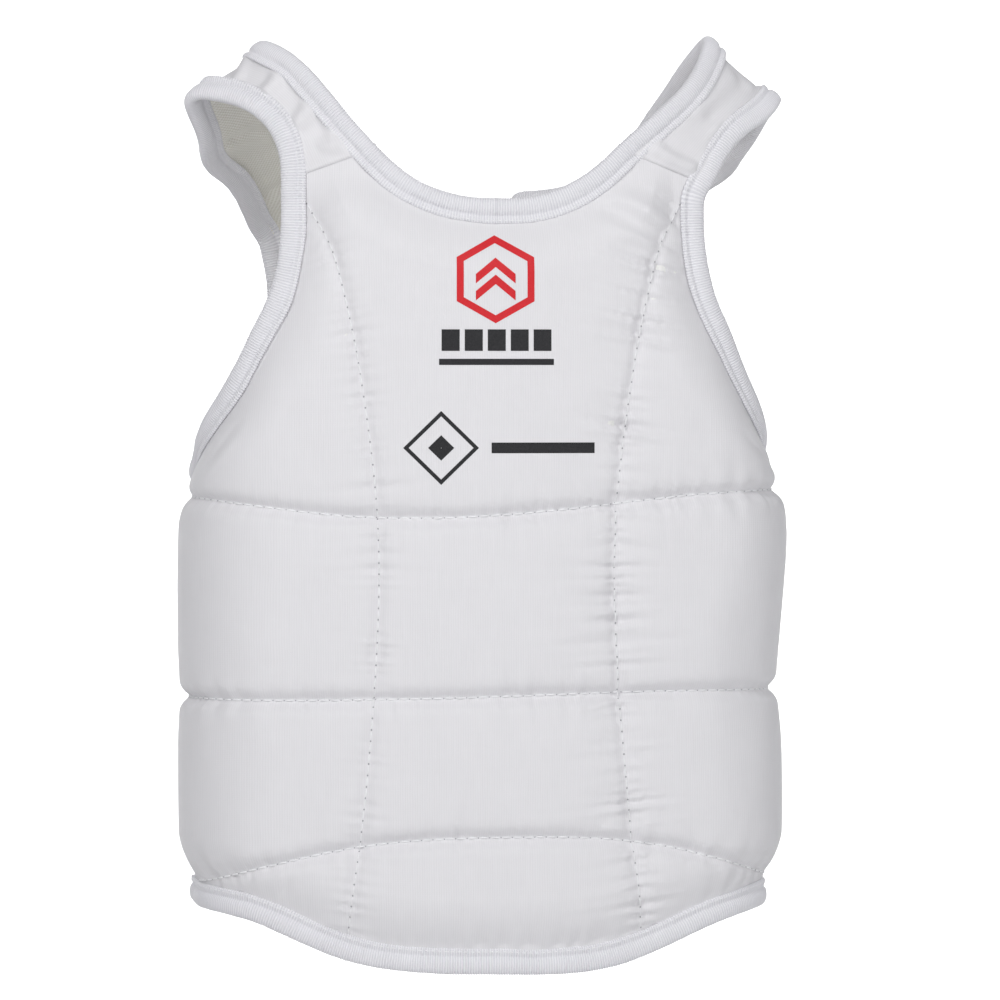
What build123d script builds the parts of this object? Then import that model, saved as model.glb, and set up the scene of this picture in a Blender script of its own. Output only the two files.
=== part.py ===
"""Karate chest protector: a quilted, foam-filled front that wraps round the ribs, two bound shoulder
straps, and two elastic back halves that close with hook-and-loop straps.

The wearer faces -Y, the wearer's left is +X and +Z is up. The origin is the midpoint between the two
places where the straps rest on the shoulders. All lengths are millimetres.

Everything hangs on the seam surface, the upright surface in which the fabric edges are sewn together.
It is drawn in plan by a PlanCurve, and layers are placed by their offset out of it.
"""

import os
from math import asin, cos, hypot, pi, sin

from build123d import *

os.makedirs("parts", exist_ok=True)

# --- Driving dimensions -------------------------------------------------------------------------
HALF_WIDTH = 140.0  # body centre to the seam surface at the sides
FRONT_REACH = 82.0  # body centre plane to the seam surface at the front
BACK_REACH = 78.0  # and at the back
FRONT_RADIUS, FRONT_CORNER = 440.0, 49.467  # shallow front arc, and the corner between it and a side
BACK_RADIUS, BACK_CORNER = 450.0, 57.042
HINGE_Y = 12.0  # the upright plane in which the back halves fold away from the front
HINGE_GAP = 1.6  # between pieces on the two sides of that plane
FRONT_END, BACK_START = HINGE_Y - HINGE_GAP / 2, HINGE_Y + HINGE_GAP / 2
BACK_CUT = HINGE_Y - 20.0  # back layers are drawn as far as this, then cut at BACK_START
TOP_Z, BOTTOM_Z = 20.0, -480.0  # beyond the object, for cutting

FABRIC = 0.8  # woven cover and mesh lining
FOAM = 8.8  # thickness of the foam pads
PLY_GAP = 0.1  # between two layers that lie on each other
SEAM_GAP = 1.6  # channel that quilting leaves between two pads
SEWN_GAP = 1.6  # from the end of a sewn fabric to the line that it is sewn on
TAPE_WIDTH, TAPE_THICK, TAPE_SLOT = 12.5, 4.6, 2.8  # folded binding tape
TAPE_OVERLAP = 1.0  # of a strap's tape and a panel's, which are one tape
TAPE_WALL = 1.2  # tape beyond the fabric edge that it wraps
EDGE_GAP = 0.6  # between that edge and the fold of the tape
ELASTIC = 1.6  # thickness of the knitted elastic

CLOSURE_WIDTH = 42.0  # closure straps
CLOSURE_LEVELS = {"upper": -150.0, "lower": -285.0}
PATCH = 1.3  # thickness of a hook or loop patch
PATCH_WIDTH = 38.0
HOOK_LENGTH, LOOP_LENGTH = 32.0, 44.0
PATCH_MARGIN = 2.5  # webbing left past the hook patch at the tip
MATED_GAP = 0.3  # between hooks and loops when closed
FOLD_GAP = 1.2  # between the strap and its sewn end, at the fold that it opens on
SEWN_LENGTH = 26.0  # end that is folded under and sewn down

WING_BOTTOM_Z = -330.0
WING_CENTRE_X = 24.0  # half of the gap between the back halves

# The edges below are drawn for a body of these sizes, and graded to the sizes above.
DRAWN_HALF_WIDTH, DRAWN_FRONT_REACH, DRAWN_BACK_REACH = 140.0, 82.0, 78.0
DRAWN_FRONT_GIRTH, DRAWN_BACK_GIRTH = 202.96, 173.29  # round the seam surface, from the middle to the hinge
WIDER = HALF_WIDTH / DRAWN_HALF_WIDTH


def wider(points):
    return [(x * WIDER, z) for x, z in points]


# Edges in the front view, as (x, z), from the wearer's right (-X) to the wearer's left (+X).
NECK_EDGE = [(-72, -42), (-58, -57.5), (-42, -69.5), (-21, -76.5), (0, -78), (22, -76.5), (44, -68.5),
             (60, -57), (74, -41)]
HEM_EDGE = [(-165, -431), (-120, -436), (-88, -450), (-60, -458.5), (0, -462.5),
            (62, -458.5), (90, -448), (118, -437), (165, -430)]
SHOULDER = [((-58, -57.5), (-104, -74)), ((60, -57), (109, -76))]  # panel's ends, neck to armhole
QUILT_ROWS = [
    [(-170, -225), (-124, -231.5), (-82, -237), (-20, -238.5), (58, -232), (95, -228), (170, -225)],
    [(-170, -328), (-62, -327.5), (22, -325.5), (95, -324), (170, -326)],
    [(-170, -430), (-125, -414), (-83, -402.5), (-41, -396.5), (0, -395), (43, -395.5),
     (95, -403), (127, -413), (170, -428)],
]
QUILT_COLUMN = [(100, -60), (92, -85), (81.5, -103), (75, -123), (68.5, -153), (63, -188),
                (58.5, -228), (57, -268), (59.5, -327), (65.5, -393), (72, -441), (76, -475)]

NECK_EDGE, HEM_EDGE, QUILT_COLUMN = wider(NECK_EDGE), wider(HEM_EDGE), wider(QUILT_COLUMN)
SHOULDER, QUILT_ROWS = [tuple(wider(ends)) for ends in SHOULDER], [wider(row) for row in QUILT_ROWS]

# Armhole edges, as (distance round the seam surface from the middle, z), from top to bottom.
FRONT_ARMHOLE = [(107, -60), (105.5, -76), (105.5, -98), (108, -118), (113, -133), (121, -148), (130, -164),
                 (143, -180), (162, -195), (182, -206), (203, -214)]
BACK_ARMHOLE = [(97.5, -80), (97.5, -112), (97.5, -146), (103, -168), (118, -188), (141, -203),
                (175, -214)]

# Strap edges from the front of the shoulder over its crest to the back, as (neck edge, arm edge).
STRAP_FRONT = {
    "left": [((60, -78, -57), (109, -68, -76)), ((74, -74.5, -45), (116, -64, -63)),
             ((88, -69, -33), (126, -58, -51)), ((99, -61, -21), (136, -52, -43)),
             ((106, -50, -9), (144, -45, -35)), ((110, -36, 0), (148, -36, -29))],
    "right": [((58, -78, -57.5), (104, -68.5, -74)), ((70, -75, -44), (106, -66, -58)),
              ((82, -70, -28.5), (112, -61, -46)), ((93, -61, -14), (121, -54.5, -37)),
              ((103, -49, -4.5), (134, -46, -30)), ((109, -36, -1), (147, -36, -27))],
}
STRAP_BACK = [((104, -15, -8), (142, -15, -42)), ((96.5, 8, -23), (136, 4, -56)),
              ((87, 36, -42), (126, 28, -71)), ((75, 59, -58), (114, 51, -85)),
              ((54, 73, -70), (106.5, 63, -97)), ((24, 77.3, -76), (97.5, 67.3, -108))]
SIDES = {"left": 1, "right": -1}  # sign of X on the wearer's left and right


class PlanCurve:
    """Half of the seam surface seen from above: a shallow arc, a corner arc and a straight side."""

    def __init__(self, reach, radius, corner, facing):
        self.reach, self.radius, self.corner, self.facing = reach, radius, corner, facing
        self.turn = asin((HALF_WIDTH - corner) / (radius - corner))
        self.corner_x = HALF_WIDTH - self.corner
        self.corner_y = reach - radius + (radius - self.corner) * cos(self.turn)

    def on_arc(self, angle, offset=0.0):
        """Point of the shallow arc, that angle from the middle and that offset out."""
        r = self.radius + offset
        return r * sin(angle), self.facing * (self.reach - self.radius + r * cos(angle))

    def on_corner(self, angle, offset=0.0):
        r = self.corner + offset
        return self.corner_x + r * sin(angle), self.facing * (self.corner_y + r * cos(angle))

    def at(self, distance, offset=0.0):
        """Point at a distance round the curve from the middle."""
        shallow = self.radius * self.turn
        bend = self.corner * (pi / 2 - self.turn)
        if distance <= shallow:
            return self.on_arc(distance / self.radius, offset)
        if distance <= shallow + bend:
            return self.on_corner(self.turn + (distance - shallow) / self.corner, offset)
        return HALF_WIDTH + offset, self.facing * (self.corner_y - (distance - shallow - bend))

    def girth(self):
        """Distance round the curve from the middle to the hinge plane."""
        round_corner = self.radius * self.turn + self.corner * (pi / 2 - self.turn)
        return round_corner + self.corner_y - self.facing * HINGE_Y

    def area(self, offset, end_y):
        """Area of the plan within the curve, from side to side, as far as the line y = end_y."""
        half = HALF_WIDTH + offset
        corner_mid = (self.turn + pi / 2) / 2
        with BuildSketch() as plan:
            with BuildLine():
                a, b = self.on_arc(self.turn, offset), self.on_corner(pi / 2, offset)
                mid, front = self.on_corner(corner_mid, offset), self.on_arc(0, offset)
                ThreePointArc((-a[0], a[1]), front, a)
                for s in (1, -1):
                    ThreePointArc((s * a[0], a[1]), (s * mid[0], mid[1]), (s * b[0], b[1]))
                    Line((s * b[0], b[1]), (s * half, end_y))
                Line((-half, end_y), (half, end_y))
            make_face()
        return plan.sketch


FRONT = PlanCurve(FRONT_REACH, FRONT_RADIUS, FRONT_CORNER, -1)
BACK = PlanCurve(BACK_REACH, BACK_RADIUS, BACK_CORNER, 1)
FRONT_ARMHOLE = [(d * FRONT.girth() / DRAWN_FRONT_GIRTH, z) for d, z in FRONT_ARMHOLE]
BACK_ARMHOLE = [(d * BACK.girth() / DRAWN_BACK_GIRTH, z) for d, z in BACK_ARMHOLE]


def graded(point):
    """A strap's edge point moved with the body, so that the strap's ends stay on the seam surface."""
    x, y, z = point
    radius, drawn, reach = ((FRONT_RADIUS, DRAWN_FRONT_REACH, FRONT_REACH) if y < 0 else
                            (BACK_RADIUS, DRAWN_BACK_REACH, BACK_REACH))
    depth_drawn = drawn - x * x / (2 * radius)
    depth = reach - (x * WIDER) ** 2 / (2 * radius)
    return x * WIDER, y * depth / depth_drawn, z


STRAP_FRONT = {side: [tuple(graded(p) for p in pair) for pair in pairs]
               for side, pairs in STRAP_FRONT.items()}
STRAP_BACK = [tuple(graded(p) for p in pair) for pair in STRAP_BACK]


def layer(curve, inner, outer, end_y):
    """Upright layer between two offsets from the seam surface, full height."""
    with BuildPart() as sheet:
        with BuildSketch(Plane.XY.offset(BOTTOM_Z)):
            add(curve.area(outer, end_y))
            add(curve.area(inner, end_y + curve.facing * -1), mode=Mode.SUBTRACT)
        extrude(amount=TOP_Z - BOTTOM_Z)
    return sheet.part


def inset(points, distance):
    """The points moved sideways, to the right of the way they run, by a distance."""
    moved = []
    for i, (x, y) in enumerate(points):
        before, after = points[max(i - 1, 0)], points[min(i + 1, len(points) - 1)]
        dx, dy = after[0] - before[0], after[1] - before[1]
        length = hypot(dx, dy)
        moved.append((x + distance * dy / length, y - distance * dx / length))
    return moved


def mirrored(points):
    return [(-x, z) for x, z in points]


def beyond_armhole(curve, edge, sign):
    """Everything past an armhole edge, cut square to the seam surface. The edge runs downwards."""
    with BuildPart() as cutter:
        for distance, z in edge:
            inner, outer = curve.at(distance, -25), curve.at(distance, 25)
            far = [(240, curve.facing * 140), (240, curve.facing * -90), (95, curve.facing * -90)]
            with BuildSketch(Plane.XY.offset(z)):
                with BuildLine():
                    Polyline([(sign * x, y) for x, y in [inner, outer, *far]], close=True)
                make_face()
        loft(ruled=True)
        top = cutter.faces().sort_by(Axis.Z)[-1]
        extrude(top, amount=TOP_Z - edge[0][1])
    return cutter.part


def panel_area(margin, drop=0.0):
    """Front view of the panel, inside its neck edge and hem by a margin, and below the straps by a drop."""
    neck, hem = inset(NECK_EDGE, margin), inset(HEM_EDGE, -margin)
    with BuildSketch(Plane.XZ) as area:
        with BuildLine():
            Spline(neck)
            Polyline(neck[-1], (165, neck[-1][1]), hem[-1])
            Spline(hem)
            Polyline(hem[0], (-165, neck[0][1]), neck[0])
        make_face()
        for (neck_x, neck_z), (arm_x, arm_z) in SHOULDER:
            dx, dz = arm_x - neck_x, arm_z - neck_z
            low, high = (neck_x - dx / 2, neck_z - dz / 2 - drop), (arm_x + 2 * dx, arm_z + 2 * dz - drop)
            with BuildLine():
                Polyline([low, high, (high[0], 60), (low[0], 60)], close=True)
            make_face(mode=Mode.SUBTRACT)
    return area.sketch


def panel(inner, outer, margin):
    """One layer of the front panel, cut to its outline less a margin."""
    side_margin = margin if margin > TAPE_WIDTH else 0  # the side seams have no tape
    with BuildPart() as piece:
        add(layer(FRONT, inner, outer, FRONT_END - side_margin))
        extrude(panel_area(margin, SEWN_GAP), amount=120, both=True, mode=Mode.INTERSECT)
        for sign in SIDES.values():
            add(beyond_armhole(FRONT, inset(FRONT_ARMHOLE, margin), sign), mode=Mode.SUBTRACT)
    return piece.part


def keep(part, name):
    """Names a finished piece and writes its STEP file."""
    part.label = name
    export_step(part, f"parts/{name}.step")


# --- Front panel: cover, lining and foam pads -----------------------------------------------------
PAD_OUTER = PLY_GAP + FOAM
COVER_OUTER = PAD_OUTER + PLY_GAP + FABRIC
PAD_MARGIN = TAPE_WIDTH + 0.4  # the padding stands clear of the tape

with BuildPart() as front_cover:
    add(panel(PLY_GAP, COVER_OUTER, PAD_MARGIN))
    add(panel(-2 * FABRIC, COVER_OUTER - FABRIC, PAD_MARGIN + FABRIC), mode=Mode.SUBTRACT)
    add(panel(PLY_GAP, PLY_GAP + FABRIC, TAPE_WALL + EDGE_GAP))
    add(panel(-2 * FABRIC, PLY_GAP + FABRIC + 1, PAD_MARGIN + FABRIC), mode=Mode.SUBTRACT)
keep(front_cover.part, "front_cover")

with BuildPart() as front_lining:
    add(panel(-PLY_GAP - FABRIC, -PLY_GAP, TAPE_WALL + EDGE_GAP))
keep(front_lining.part, "front_lining")


def between(upper, lower, clear):
    """Front view of the strip between two quilting lines, given as rows of points, less a clearance."""
    above, below = inset(upper, clear), inset(lower, -clear)
    with BuildSketch(Plane.XZ) as strip:
        with BuildLine():
            Spline(above)
            Line(above[-1], below[-1])
            Spline(below)
            Line(below[0], above[0])
        make_face()
    return strip.sketch


TOP_EDGE, BOTTOM_EDGE = [(-200, 15), (0, 15), (200, 15)], [(-200, -475), (0, -475), (200, -475)]
rows = [TOP_EDGE, *QUILT_ROWS, BOTTOM_EDGE]
outer_side = [(200, TOP_Z), (200, -200), (200, BOTTOM_Z)]
columns = [mirrored(outer_side), mirrored(QUILT_COLUMN), QUILT_COLUMN, outer_side]
foam = panel(PLY_GAP, PAD_OUTER, PAD_MARGIN + FABRIC + PLY_GAP)
ROW_NAMES, COLUMN_NAMES = ["chest", "rib", "waist", "belly"], ["right", "centre", "left"]
for r, row_name in enumerate(ROW_NAMES):
    for c, column_name in enumerate(COLUMN_NAMES):
        with BuildPart() as pad:
            add(foam)
            strip = between(rows[r], rows[r + 1], SEAM_GAP / 2)
            extrude(strip, amount=120, both=True, mode=Mode.INTERSECT)
            column = between(columns[c + 1], columns[c], SEAM_GAP / 2)
            extrude(column, amount=120, both=True, mode=Mode.INTERSECT)
        keep(pad.part, f"pad_{row_name}_{column_name}")


def tape_ring(curve, area, armhole, end_y):
    """Binding tape folded over all the edges of a panel, one solid for each unbroken edge."""
    half = TAPE_THICK / 2
    with BuildPart() as ring:
        add(layer(curve, -half, half, end_y))
        extrude(area(0), amount=120, both=True, mode=Mode.INTERSECT)
        for sign in SIDES.values():
            add(beyond_armhole(curve, armhole, sign), mode=Mode.SUBTRACT)
        with BuildPart(mode=Mode.PRIVATE) as middle:
            add(layer(curve, -2 * half, 2 * half, end_y))
            extrude(area(TAPE_WIDTH), amount=120, both=True, mode=Mode.INTERSECT)
            for sign in SIDES.values():
                add(beyond_armhole(curve, inset(armhole, TAPE_WIDTH), sign), mode=Mode.SUBTRACT)
        with BuildPart(mode=Mode.PRIVATE) as slit:
            add(layer(curve, -TAPE_SLOT / 2, TAPE_SLOT / 2, end_y))
            extrude(area(TAPE_WALL), amount=120, both=True, mode=Mode.INTERSECT)
            for sign in SIDES.values():
                add(beyond_armhole(curve, inset(armhole, TAPE_WALL), sign), mode=Mode.SUBTRACT)
        add(middle.part, mode=Mode.SUBTRACT)
        add(slit.part, mode=Mode.SUBTRACT)
    return ring.part


# --- Straps ---------------------------------------------------------------------------------------
def strap_stations(side, lead=0.0):
    """Planes across a strap, each with the strap's width there: x along the width, y out of the cloth.

    The lead lengthens the strap at both ends.
    """
    sign = SIDES[side]
    ends = [[Vector(sign * x, y, z) for x, y, z in pair] for pair in [*STRAP_FRONT[side], *STRAP_BACK]]
    for last, inner in ((0, 1), (-1, -2)):
        steps = [a - b for a, b in zip(ends[last], ends[inner])]
        share = lead / ((steps[0] + steps[1]) * 0.5).length
        ends[last] = [a + step * share for a, step in zip(ends[last], steps)]
    middles = [(neck + arm) * 0.5 for neck, arm in ends]
    stations = []
    for i, (neck, arm) in enumerate(ends):
        before, after = middles[max(i - 1, 0)], middles[min(i + 1, len(middles) - 1)]
        across, along = arm - neck, (after - before).normalized()
        out = across.cross(along).normalized() * sign
        plane = Plane(origin=middles[i], x_dir=across, z_dir=across.cross(out))
        stations.append((plane, across.length))
    return stations


def strap_loft(side, lead, outline):
    """Solid along a strap. outline gives the section's corners for a strap of some width."""
    with BuildPart() as solid:
        for plane, width in strap_stations(side, lead):
            with BuildSketch(plane):
                with BuildLine():
                    Polyline(outline(width), close=True)
                make_face()
        loft(ruled=True)
    return solid.part


def ply(inner, outer):
    """Section of a strap's fabric layer."""
    inside = TAPE_WALL + EDGE_GAP

    def corners(width):
        half = width / 2 - inside
        return [(-half, inner), (half, inner), (half, outer), (-half, outer)]

    return corners


def folded_tape(edge):
    """Section of the tape that wraps a strap's neck edge (-1) or arm edge (1)."""

    def corners(width):
        rim, wall, lip = width / 2, width / 2 - TAPE_WALL, width / 2 - TAPE_WIDTH
        out, slit = TAPE_THICK / 2, TAPE_SLOT / 2
        half_section = [(rim, out), (lip, out), (lip, slit), (wall, slit)]
        return [(edge * x, y) for x, y in half_section] + [(edge * x, -y) for x, y in half_section[::-1]]

    return corners


def share_of(part, front):
    """The share of a piece that lies before or behind the hinge plane."""
    depth = 300.0
    middle = FRONT_END - depth / 2 if front else BACK_START + depth / 2
    with BuildPart() as share:
        add(part)
        with Locations((0, middle, BOTTOM_Z / 2)):
            Box(600, depth, 600, mode=Mode.INTERSECT)
    return share.part


strap = {}
for side in SIDES:
    for name, lead, outline in [("cover", -SEWN_GAP, ply(PLY_GAP, PLY_GAP + FABRIC)),
                                ("lining", -SEWN_GAP, ply(-PLY_GAP - FABRIC, -PLY_GAP)),
                                ("neck", TAPE_OVERLAP, folded_tape(-1)),
                                ("arm", TAPE_OVERLAP, folded_tape(1))]:
        whole = strap_loft(side, lead, outline)
        for front in (True, False):
            strap[side, name, front] = share_of(whole, front)
    keep(strap[side, "cover", True], f"strap_cover_front_{side}")
    keep(strap[side, "lining", True], f"strap_lining_front_{side}")
    keep(strap[side, "cover", False], f"strap_cover_back_{side}")
    keep(strap[side, "lining", False], f"strap_lining_back_{side}")

# --- Front bindings -------------------------------------------------------------------------------
front_tapes = tape_ring(FRONT, panel_area, FRONT_ARMHOLE, FRONT_END).solids().sort_by(Axis.Z)
with BuildPart() as hem_binding:
    add(front_tapes[0])
keep(hem_binding.part, "hem_binding")

arm_tapes = front_tapes[1:3].sort_by(Axis.X)
for side, tape in [("right", arm_tapes[0]), ("left", arm_tapes[1])]:
    with BuildPart() as arm_binding:
        add(tape)
        add(strap[side, "arm", True])
    keep(arm_binding.part, f"arm_binding_front_{side}")

with BuildPart() as neck_binding:
    add(front_tapes[3])
    for side in SIDES:
        add(strap[side, "neck", True])
keep(neck_binding.part, "neck_binding_front")


# --- Back halves: elastic wings and their bindings ------------------------------------------------
def wing_area(margin, drop=0.0):
    """Front view of the left wing, inside its centre edge and bottom, and below the strap by a drop."""
    (neck_x, _, neck_z), (arm_x, _, arm_z) = STRAP_BACK[-1]
    slope = (arm_z - neck_z) / (arm_x - neck_x)
    corners = [(x, neck_z - drop + slope * (x - neck_x)) for x in (WING_CENTRE_X + margin, 165)]
    bottom = WING_BOTTOM_Z + margin
    with BuildSketch(Plane.XZ) as area:
        with BuildLine():
            Polyline([*corners, (165, bottom), (corners[0][0], bottom)], close=True)
        make_face()
    return area.sketch


with BuildPart() as wing:
    add(layer(BACK, -ELASTIC / 2, ELASTIC / 2, BACK_CUT))
    extrude(wing_area(TAPE_WALL + EDGE_GAP, SEWN_GAP), amount=120, both=True, mode=Mode.INTERSECT)
    add(beyond_armhole(BACK, inset(BACK_ARMHOLE, TAPE_WALL + EDGE_GAP), 1), mode=Mode.SUBTRACT)
wing_tapes = tape_ring(BACK, wing_area, BACK_ARMHOLE, BACK_CUT).solids().sort_by(Axis.X)
wing_pieces = [share_of(piece, False) for piece in (wing.part, wing_tapes[0], wing_tapes[-1])]
for side, sign in SIDES.items():
    sheet, centre_tape, arm_tape = [p if sign > 0 else mirror(p, about=Plane.YZ) for p in wing_pieces]
    keep(sheet, f"wing_{side}")
    with BuildPart() as back_binding:
        add(centre_tape)
        add(strap[side, "neck", False])
    keep(back_binding.part, f"back_binding_{side}")
    with BuildPart() as arm_binding:
        add(arm_tape)
        add(strap[side, "arm", False])
    keep(arm_binding.part, f"arm_binding_back_{side}")


# --- Closures: each is sewn to the left half and closes on a patch on the right half --------------
def back_patch(x_low, x_high, width, level, inner, outer):
    """Piece that follows the back's curve between two offsets from the seam surface."""
    with BuildPart() as piece:
        add(layer(BACK, inner, outer, BACK_CUT))
        with Locations(((x_low + x_high) / 2, 100, level)):
            Box(x_high - x_low, 200, width, mode=Mode.INTERSECT)
    return piece.part


CLEAR_X = WING_CENTRE_X + TAPE_WIDTH + 2.0  # where the wing is clear of its centre tape
ON_WING = ELASTIC / 2 + PLY_GAP
LOOP_TOP = ON_WING + PATCH
STRAP_FACE = LOOP_TOP + MATED_GAP + PATCH + PLY_GAP
HOOK_TIP_X = -CLEAR_X - HOOK_LENGTH
for name, level in CLOSURE_LEVELS.items():
    keep(back_patch(CLEAR_X, CLEAR_X + SEWN_LENGTH, CLOSURE_WIDTH, level, ON_WING, STRAP_FACE + ELASTIC),
         f"closure_sewn_end_{name}")
    keep(back_patch(HOOK_TIP_X - PATCH_MARGIN, CLEAR_X - FOLD_GAP, CLOSURE_WIDTH, level, STRAP_FACE,
                    STRAP_FACE + ELASTIC), f"closure_strap_{name}")
    keep(back_patch(HOOK_TIP_X, -CLEAR_X, PATCH_WIDTH, level, LOOP_TOP + MATED_GAP, STRAP_FACE - PLY_GAP),
         f"hook_patch_{name}")
    keep(back_patch(-CLEAR_X - LOOP_LENGTH, -CLEAR_X, PATCH_WIDTH, level, ON_WING, LOOP_TOP),
         f"loop_patch_{name}")
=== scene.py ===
"""Looks of the chest protector: quilted white cover, ribbed binding, straps, elastic back and closures.

Lengths are millimetres while a shape is worked out, and metres once it is a mesh.
The sewing patterns repeat the CAD's own outlines.
"""

from math import asin, cos, pi, radians, sin

import bpy
import numpy as np
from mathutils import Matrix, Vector
from mathutils.kdtree import KDTree


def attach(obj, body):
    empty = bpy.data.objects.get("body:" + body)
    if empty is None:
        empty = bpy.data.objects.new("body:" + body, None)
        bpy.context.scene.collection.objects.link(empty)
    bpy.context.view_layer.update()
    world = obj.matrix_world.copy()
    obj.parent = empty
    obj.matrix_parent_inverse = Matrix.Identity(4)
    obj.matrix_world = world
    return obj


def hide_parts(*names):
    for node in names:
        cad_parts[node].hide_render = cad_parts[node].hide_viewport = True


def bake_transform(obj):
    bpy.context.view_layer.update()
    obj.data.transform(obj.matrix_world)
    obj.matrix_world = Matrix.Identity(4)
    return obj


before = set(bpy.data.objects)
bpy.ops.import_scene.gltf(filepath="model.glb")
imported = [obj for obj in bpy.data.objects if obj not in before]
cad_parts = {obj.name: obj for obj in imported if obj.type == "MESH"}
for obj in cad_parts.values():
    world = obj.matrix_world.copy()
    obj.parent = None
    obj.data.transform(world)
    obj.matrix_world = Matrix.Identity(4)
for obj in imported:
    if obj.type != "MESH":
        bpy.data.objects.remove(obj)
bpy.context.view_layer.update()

# --- The CAD's sizes and outlines ---
HALF_WIDTH = 140.0
TAPE = 12.5
QUILT_STITCH, STITCH = 5.6, 3.2  # pitch of the quilting and of the edge stitching
NECK_EDGE = [(-72, -42), (-58, -57.5), (-42, -71.5), (-21, -80.4), (0, -82.6), (22, -80.6), (44, -70.8),
             (60, -57), (74, -41)]
HEM_EDGE = [(-165, -431), (-120, -436), (-88, -450), (-60, -458.5), (0, -462.5), (62, -458.5), (90, -448),
            (118, -437), (165, -430)]
SHOULDER = {-1: ((-58, -57.5), (-104, -74)), 1: ((60, -57), (109, -76))}
QUILT_ROWS = [
    [(-170, -225), (-124, -231.5), (-82, -237), (-20, -238.5), (58, -232), (95, -228), (170, -225)],
    [(-170, -328), (-62, -327.5), (22, -325.5), (95, -324), (170, -326)],
    [(-170, -430), (-125, -414), (-83, -402.5), (-41, -396.5), (0, -395), (43, -395.5), (95, -403),
     (127, -413), (170, -428)],
]
QUILT_COLUMN = [(100, -60), (92, -85), (81.5, -103), (75, -123), (68.5, -153), (63, -188), (58.5, -228),
                (57, -268), (59.5, -327), (65.5, -393), (72, -441), (76, -475)]
FRONT_ARMHOLE = [(107, -60), (105.5, -76), (105.5, -98), (108, -118), (113, -133), (121, -148),
                 (130, -164), (143, -180), (162, -195), (182, -206), (203, -214)]
BACK_ARMHOLE = [(100, -80), (100, -112), (100, -146), (104.5, -168), (118, -188), (141, -203), (175, -214)]
STRAP_FRONT = {
    1: [((60, -78, -57), (109, -68, -76)), ((74, -74.5, -45), (116, -64, -63)),
        ((88, -69, -33), (126, -58, -51)), ((99, -61, -21), (136, -52, -43)),
        ((106, -50, -9), (144, -45, -35)), ((110, -36, 0), (148, -36, -29))],
    -1: [((58, -78, -57.5), (104, -68.5, -74)), ((70, -75, -44), (106, -66, -58)),
         ((82, -70, -28.5), (112, -61, -46)), ((93, -61, -14), (121, -54.5, -37)),
         ((103, -49, -4.5), (134, -46, -30)), ((109, -36, -1), (147, -36, -27))],
}
STRAP_BACK = [((104, -15, -8), (142, -15, -42)), ((96.5, 8, -23), (136, 4, -56)),
              ((87, 36, -42), (126, 28, -71)), ((75, 59, -61.5), (114, 51, -86)),
              ((54, 73, -72), (107, 63, -97)), ((21, 77.5, -75.5), (99.5, 67.3, -107))]
WING_BOTTOM, WING_CENTRE = -330.0, 21.0
SIDE_NAME = {1: "left", -1: "right"}


# --- Curves ---
def spline(points, count=None, step=None):
    """Natural cubic spline through the points, evenly spaced along its length."""
    p = np.array(points, float)
    chord = run_along(p)
    n = len(p)
    h = np.diff(chord)
    a, b = np.zeros((n, n)), np.zeros((n, p.shape[1]))
    a[0, 0] = a[-1, -1] = 1
    for i in range(1, n - 1):
        a[i, i - 1 : i + 2] = h[i - 1], 2 * (h[i - 1] + h[i]), h[i]
        b[i] = 6 * ((p[i + 1] - p[i]) / h[i] - (p[i] - p[i - 1]) / h[i - 1])
    m = np.linalg.solve(a, b)

    def at(t):
        i = np.clip(np.searchsorted(chord, t, side="right") - 1, 0, n - 2)
        u, v = (t - chord[i])[:, None], (chord[i + 1] - t)[:, None]
        hi = h[i][:, None]
        return (m[i] * v**3 + m[i + 1] * u**3) / (6 * hi) + (p[i] / hi - m[i] * hi / 6) * v + (
            p[i + 1] / hi - m[i + 1] * hi / 6
        ) * u

    fine = at(np.linspace(0, chord[-1], 40 * n))
    return even(fine, count, step)


def even(points, count=None, step=None):
    """The polyline's points spaced evenly along it."""
    p = np.asarray(points, float)
    run = run_along(p)
    if count is None:
        count = max(2, int(round(run[-1] / step)) + 1)
    t = np.linspace(0, run[-1], count)
    return read_at(p, t, run)


def run_along(p):
    """Length along a polyline at each of its points."""
    return np.concatenate([[0], np.cumsum(np.linalg.norm(np.diff(p, axis=0), axis=1))])


def read_at(q, t, run):
    """Values of q, one row for each length in run, read at the lengths t."""
    return np.stack([np.interp(t, run, q[:, k]) for k in range(q.shape[1])], axis=1)


def smooth_step(x):
    """0 to 1 with soft ends, for x from 0 to 1."""
    x = np.clip(x, 0, 1)
    return x * x * (3 - 2 * x)


def unit(v):
    """The vectors at length one."""
    return v / np.maximum(np.linalg.norm(v, axis=-1, keepdims=True), 1e-9)


def wander(x, scale, seed):
    """Smooth noise along one axis, about -1 to 1."""
    r = np.random.RandomState(seed)
    table = r.uniform(-1, 1, 512)
    q = np.asarray(x) / scale + 200.0
    i = np.floor(q).astype(int)
    f = smooth_step(q - i)
    return table[i % 512] * (1 - f) + table[(i + 1) % 512] * f


def wander2(x, y, sx, sy, seed):
    """Smooth noise over two axes, about -1 to 1."""
    r = np.random.RandomState(seed)
    table = r.uniform(-1, 1, (128, 128))
    qx, qy = np.asarray(x) / sx + 60.0, np.asarray(y) / sy + 60.0
    i, j = np.floor(qx).astype(int), np.floor(qy).astype(int)
    fx, fy = smooth_step(qx - i), smooth_step(qy - j)
    i0, i1, j0, j1 = i % 128, (i + 1) % 128, j % 128, (j + 1) % 128
    low = table[i0, j0] * (1 - fx) + table[i1, j0] * fx
    high = table[i0, j1] * (1 - fx) + table[i1, j1] * fx
    return low * (1 - fy) + high * fy


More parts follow.
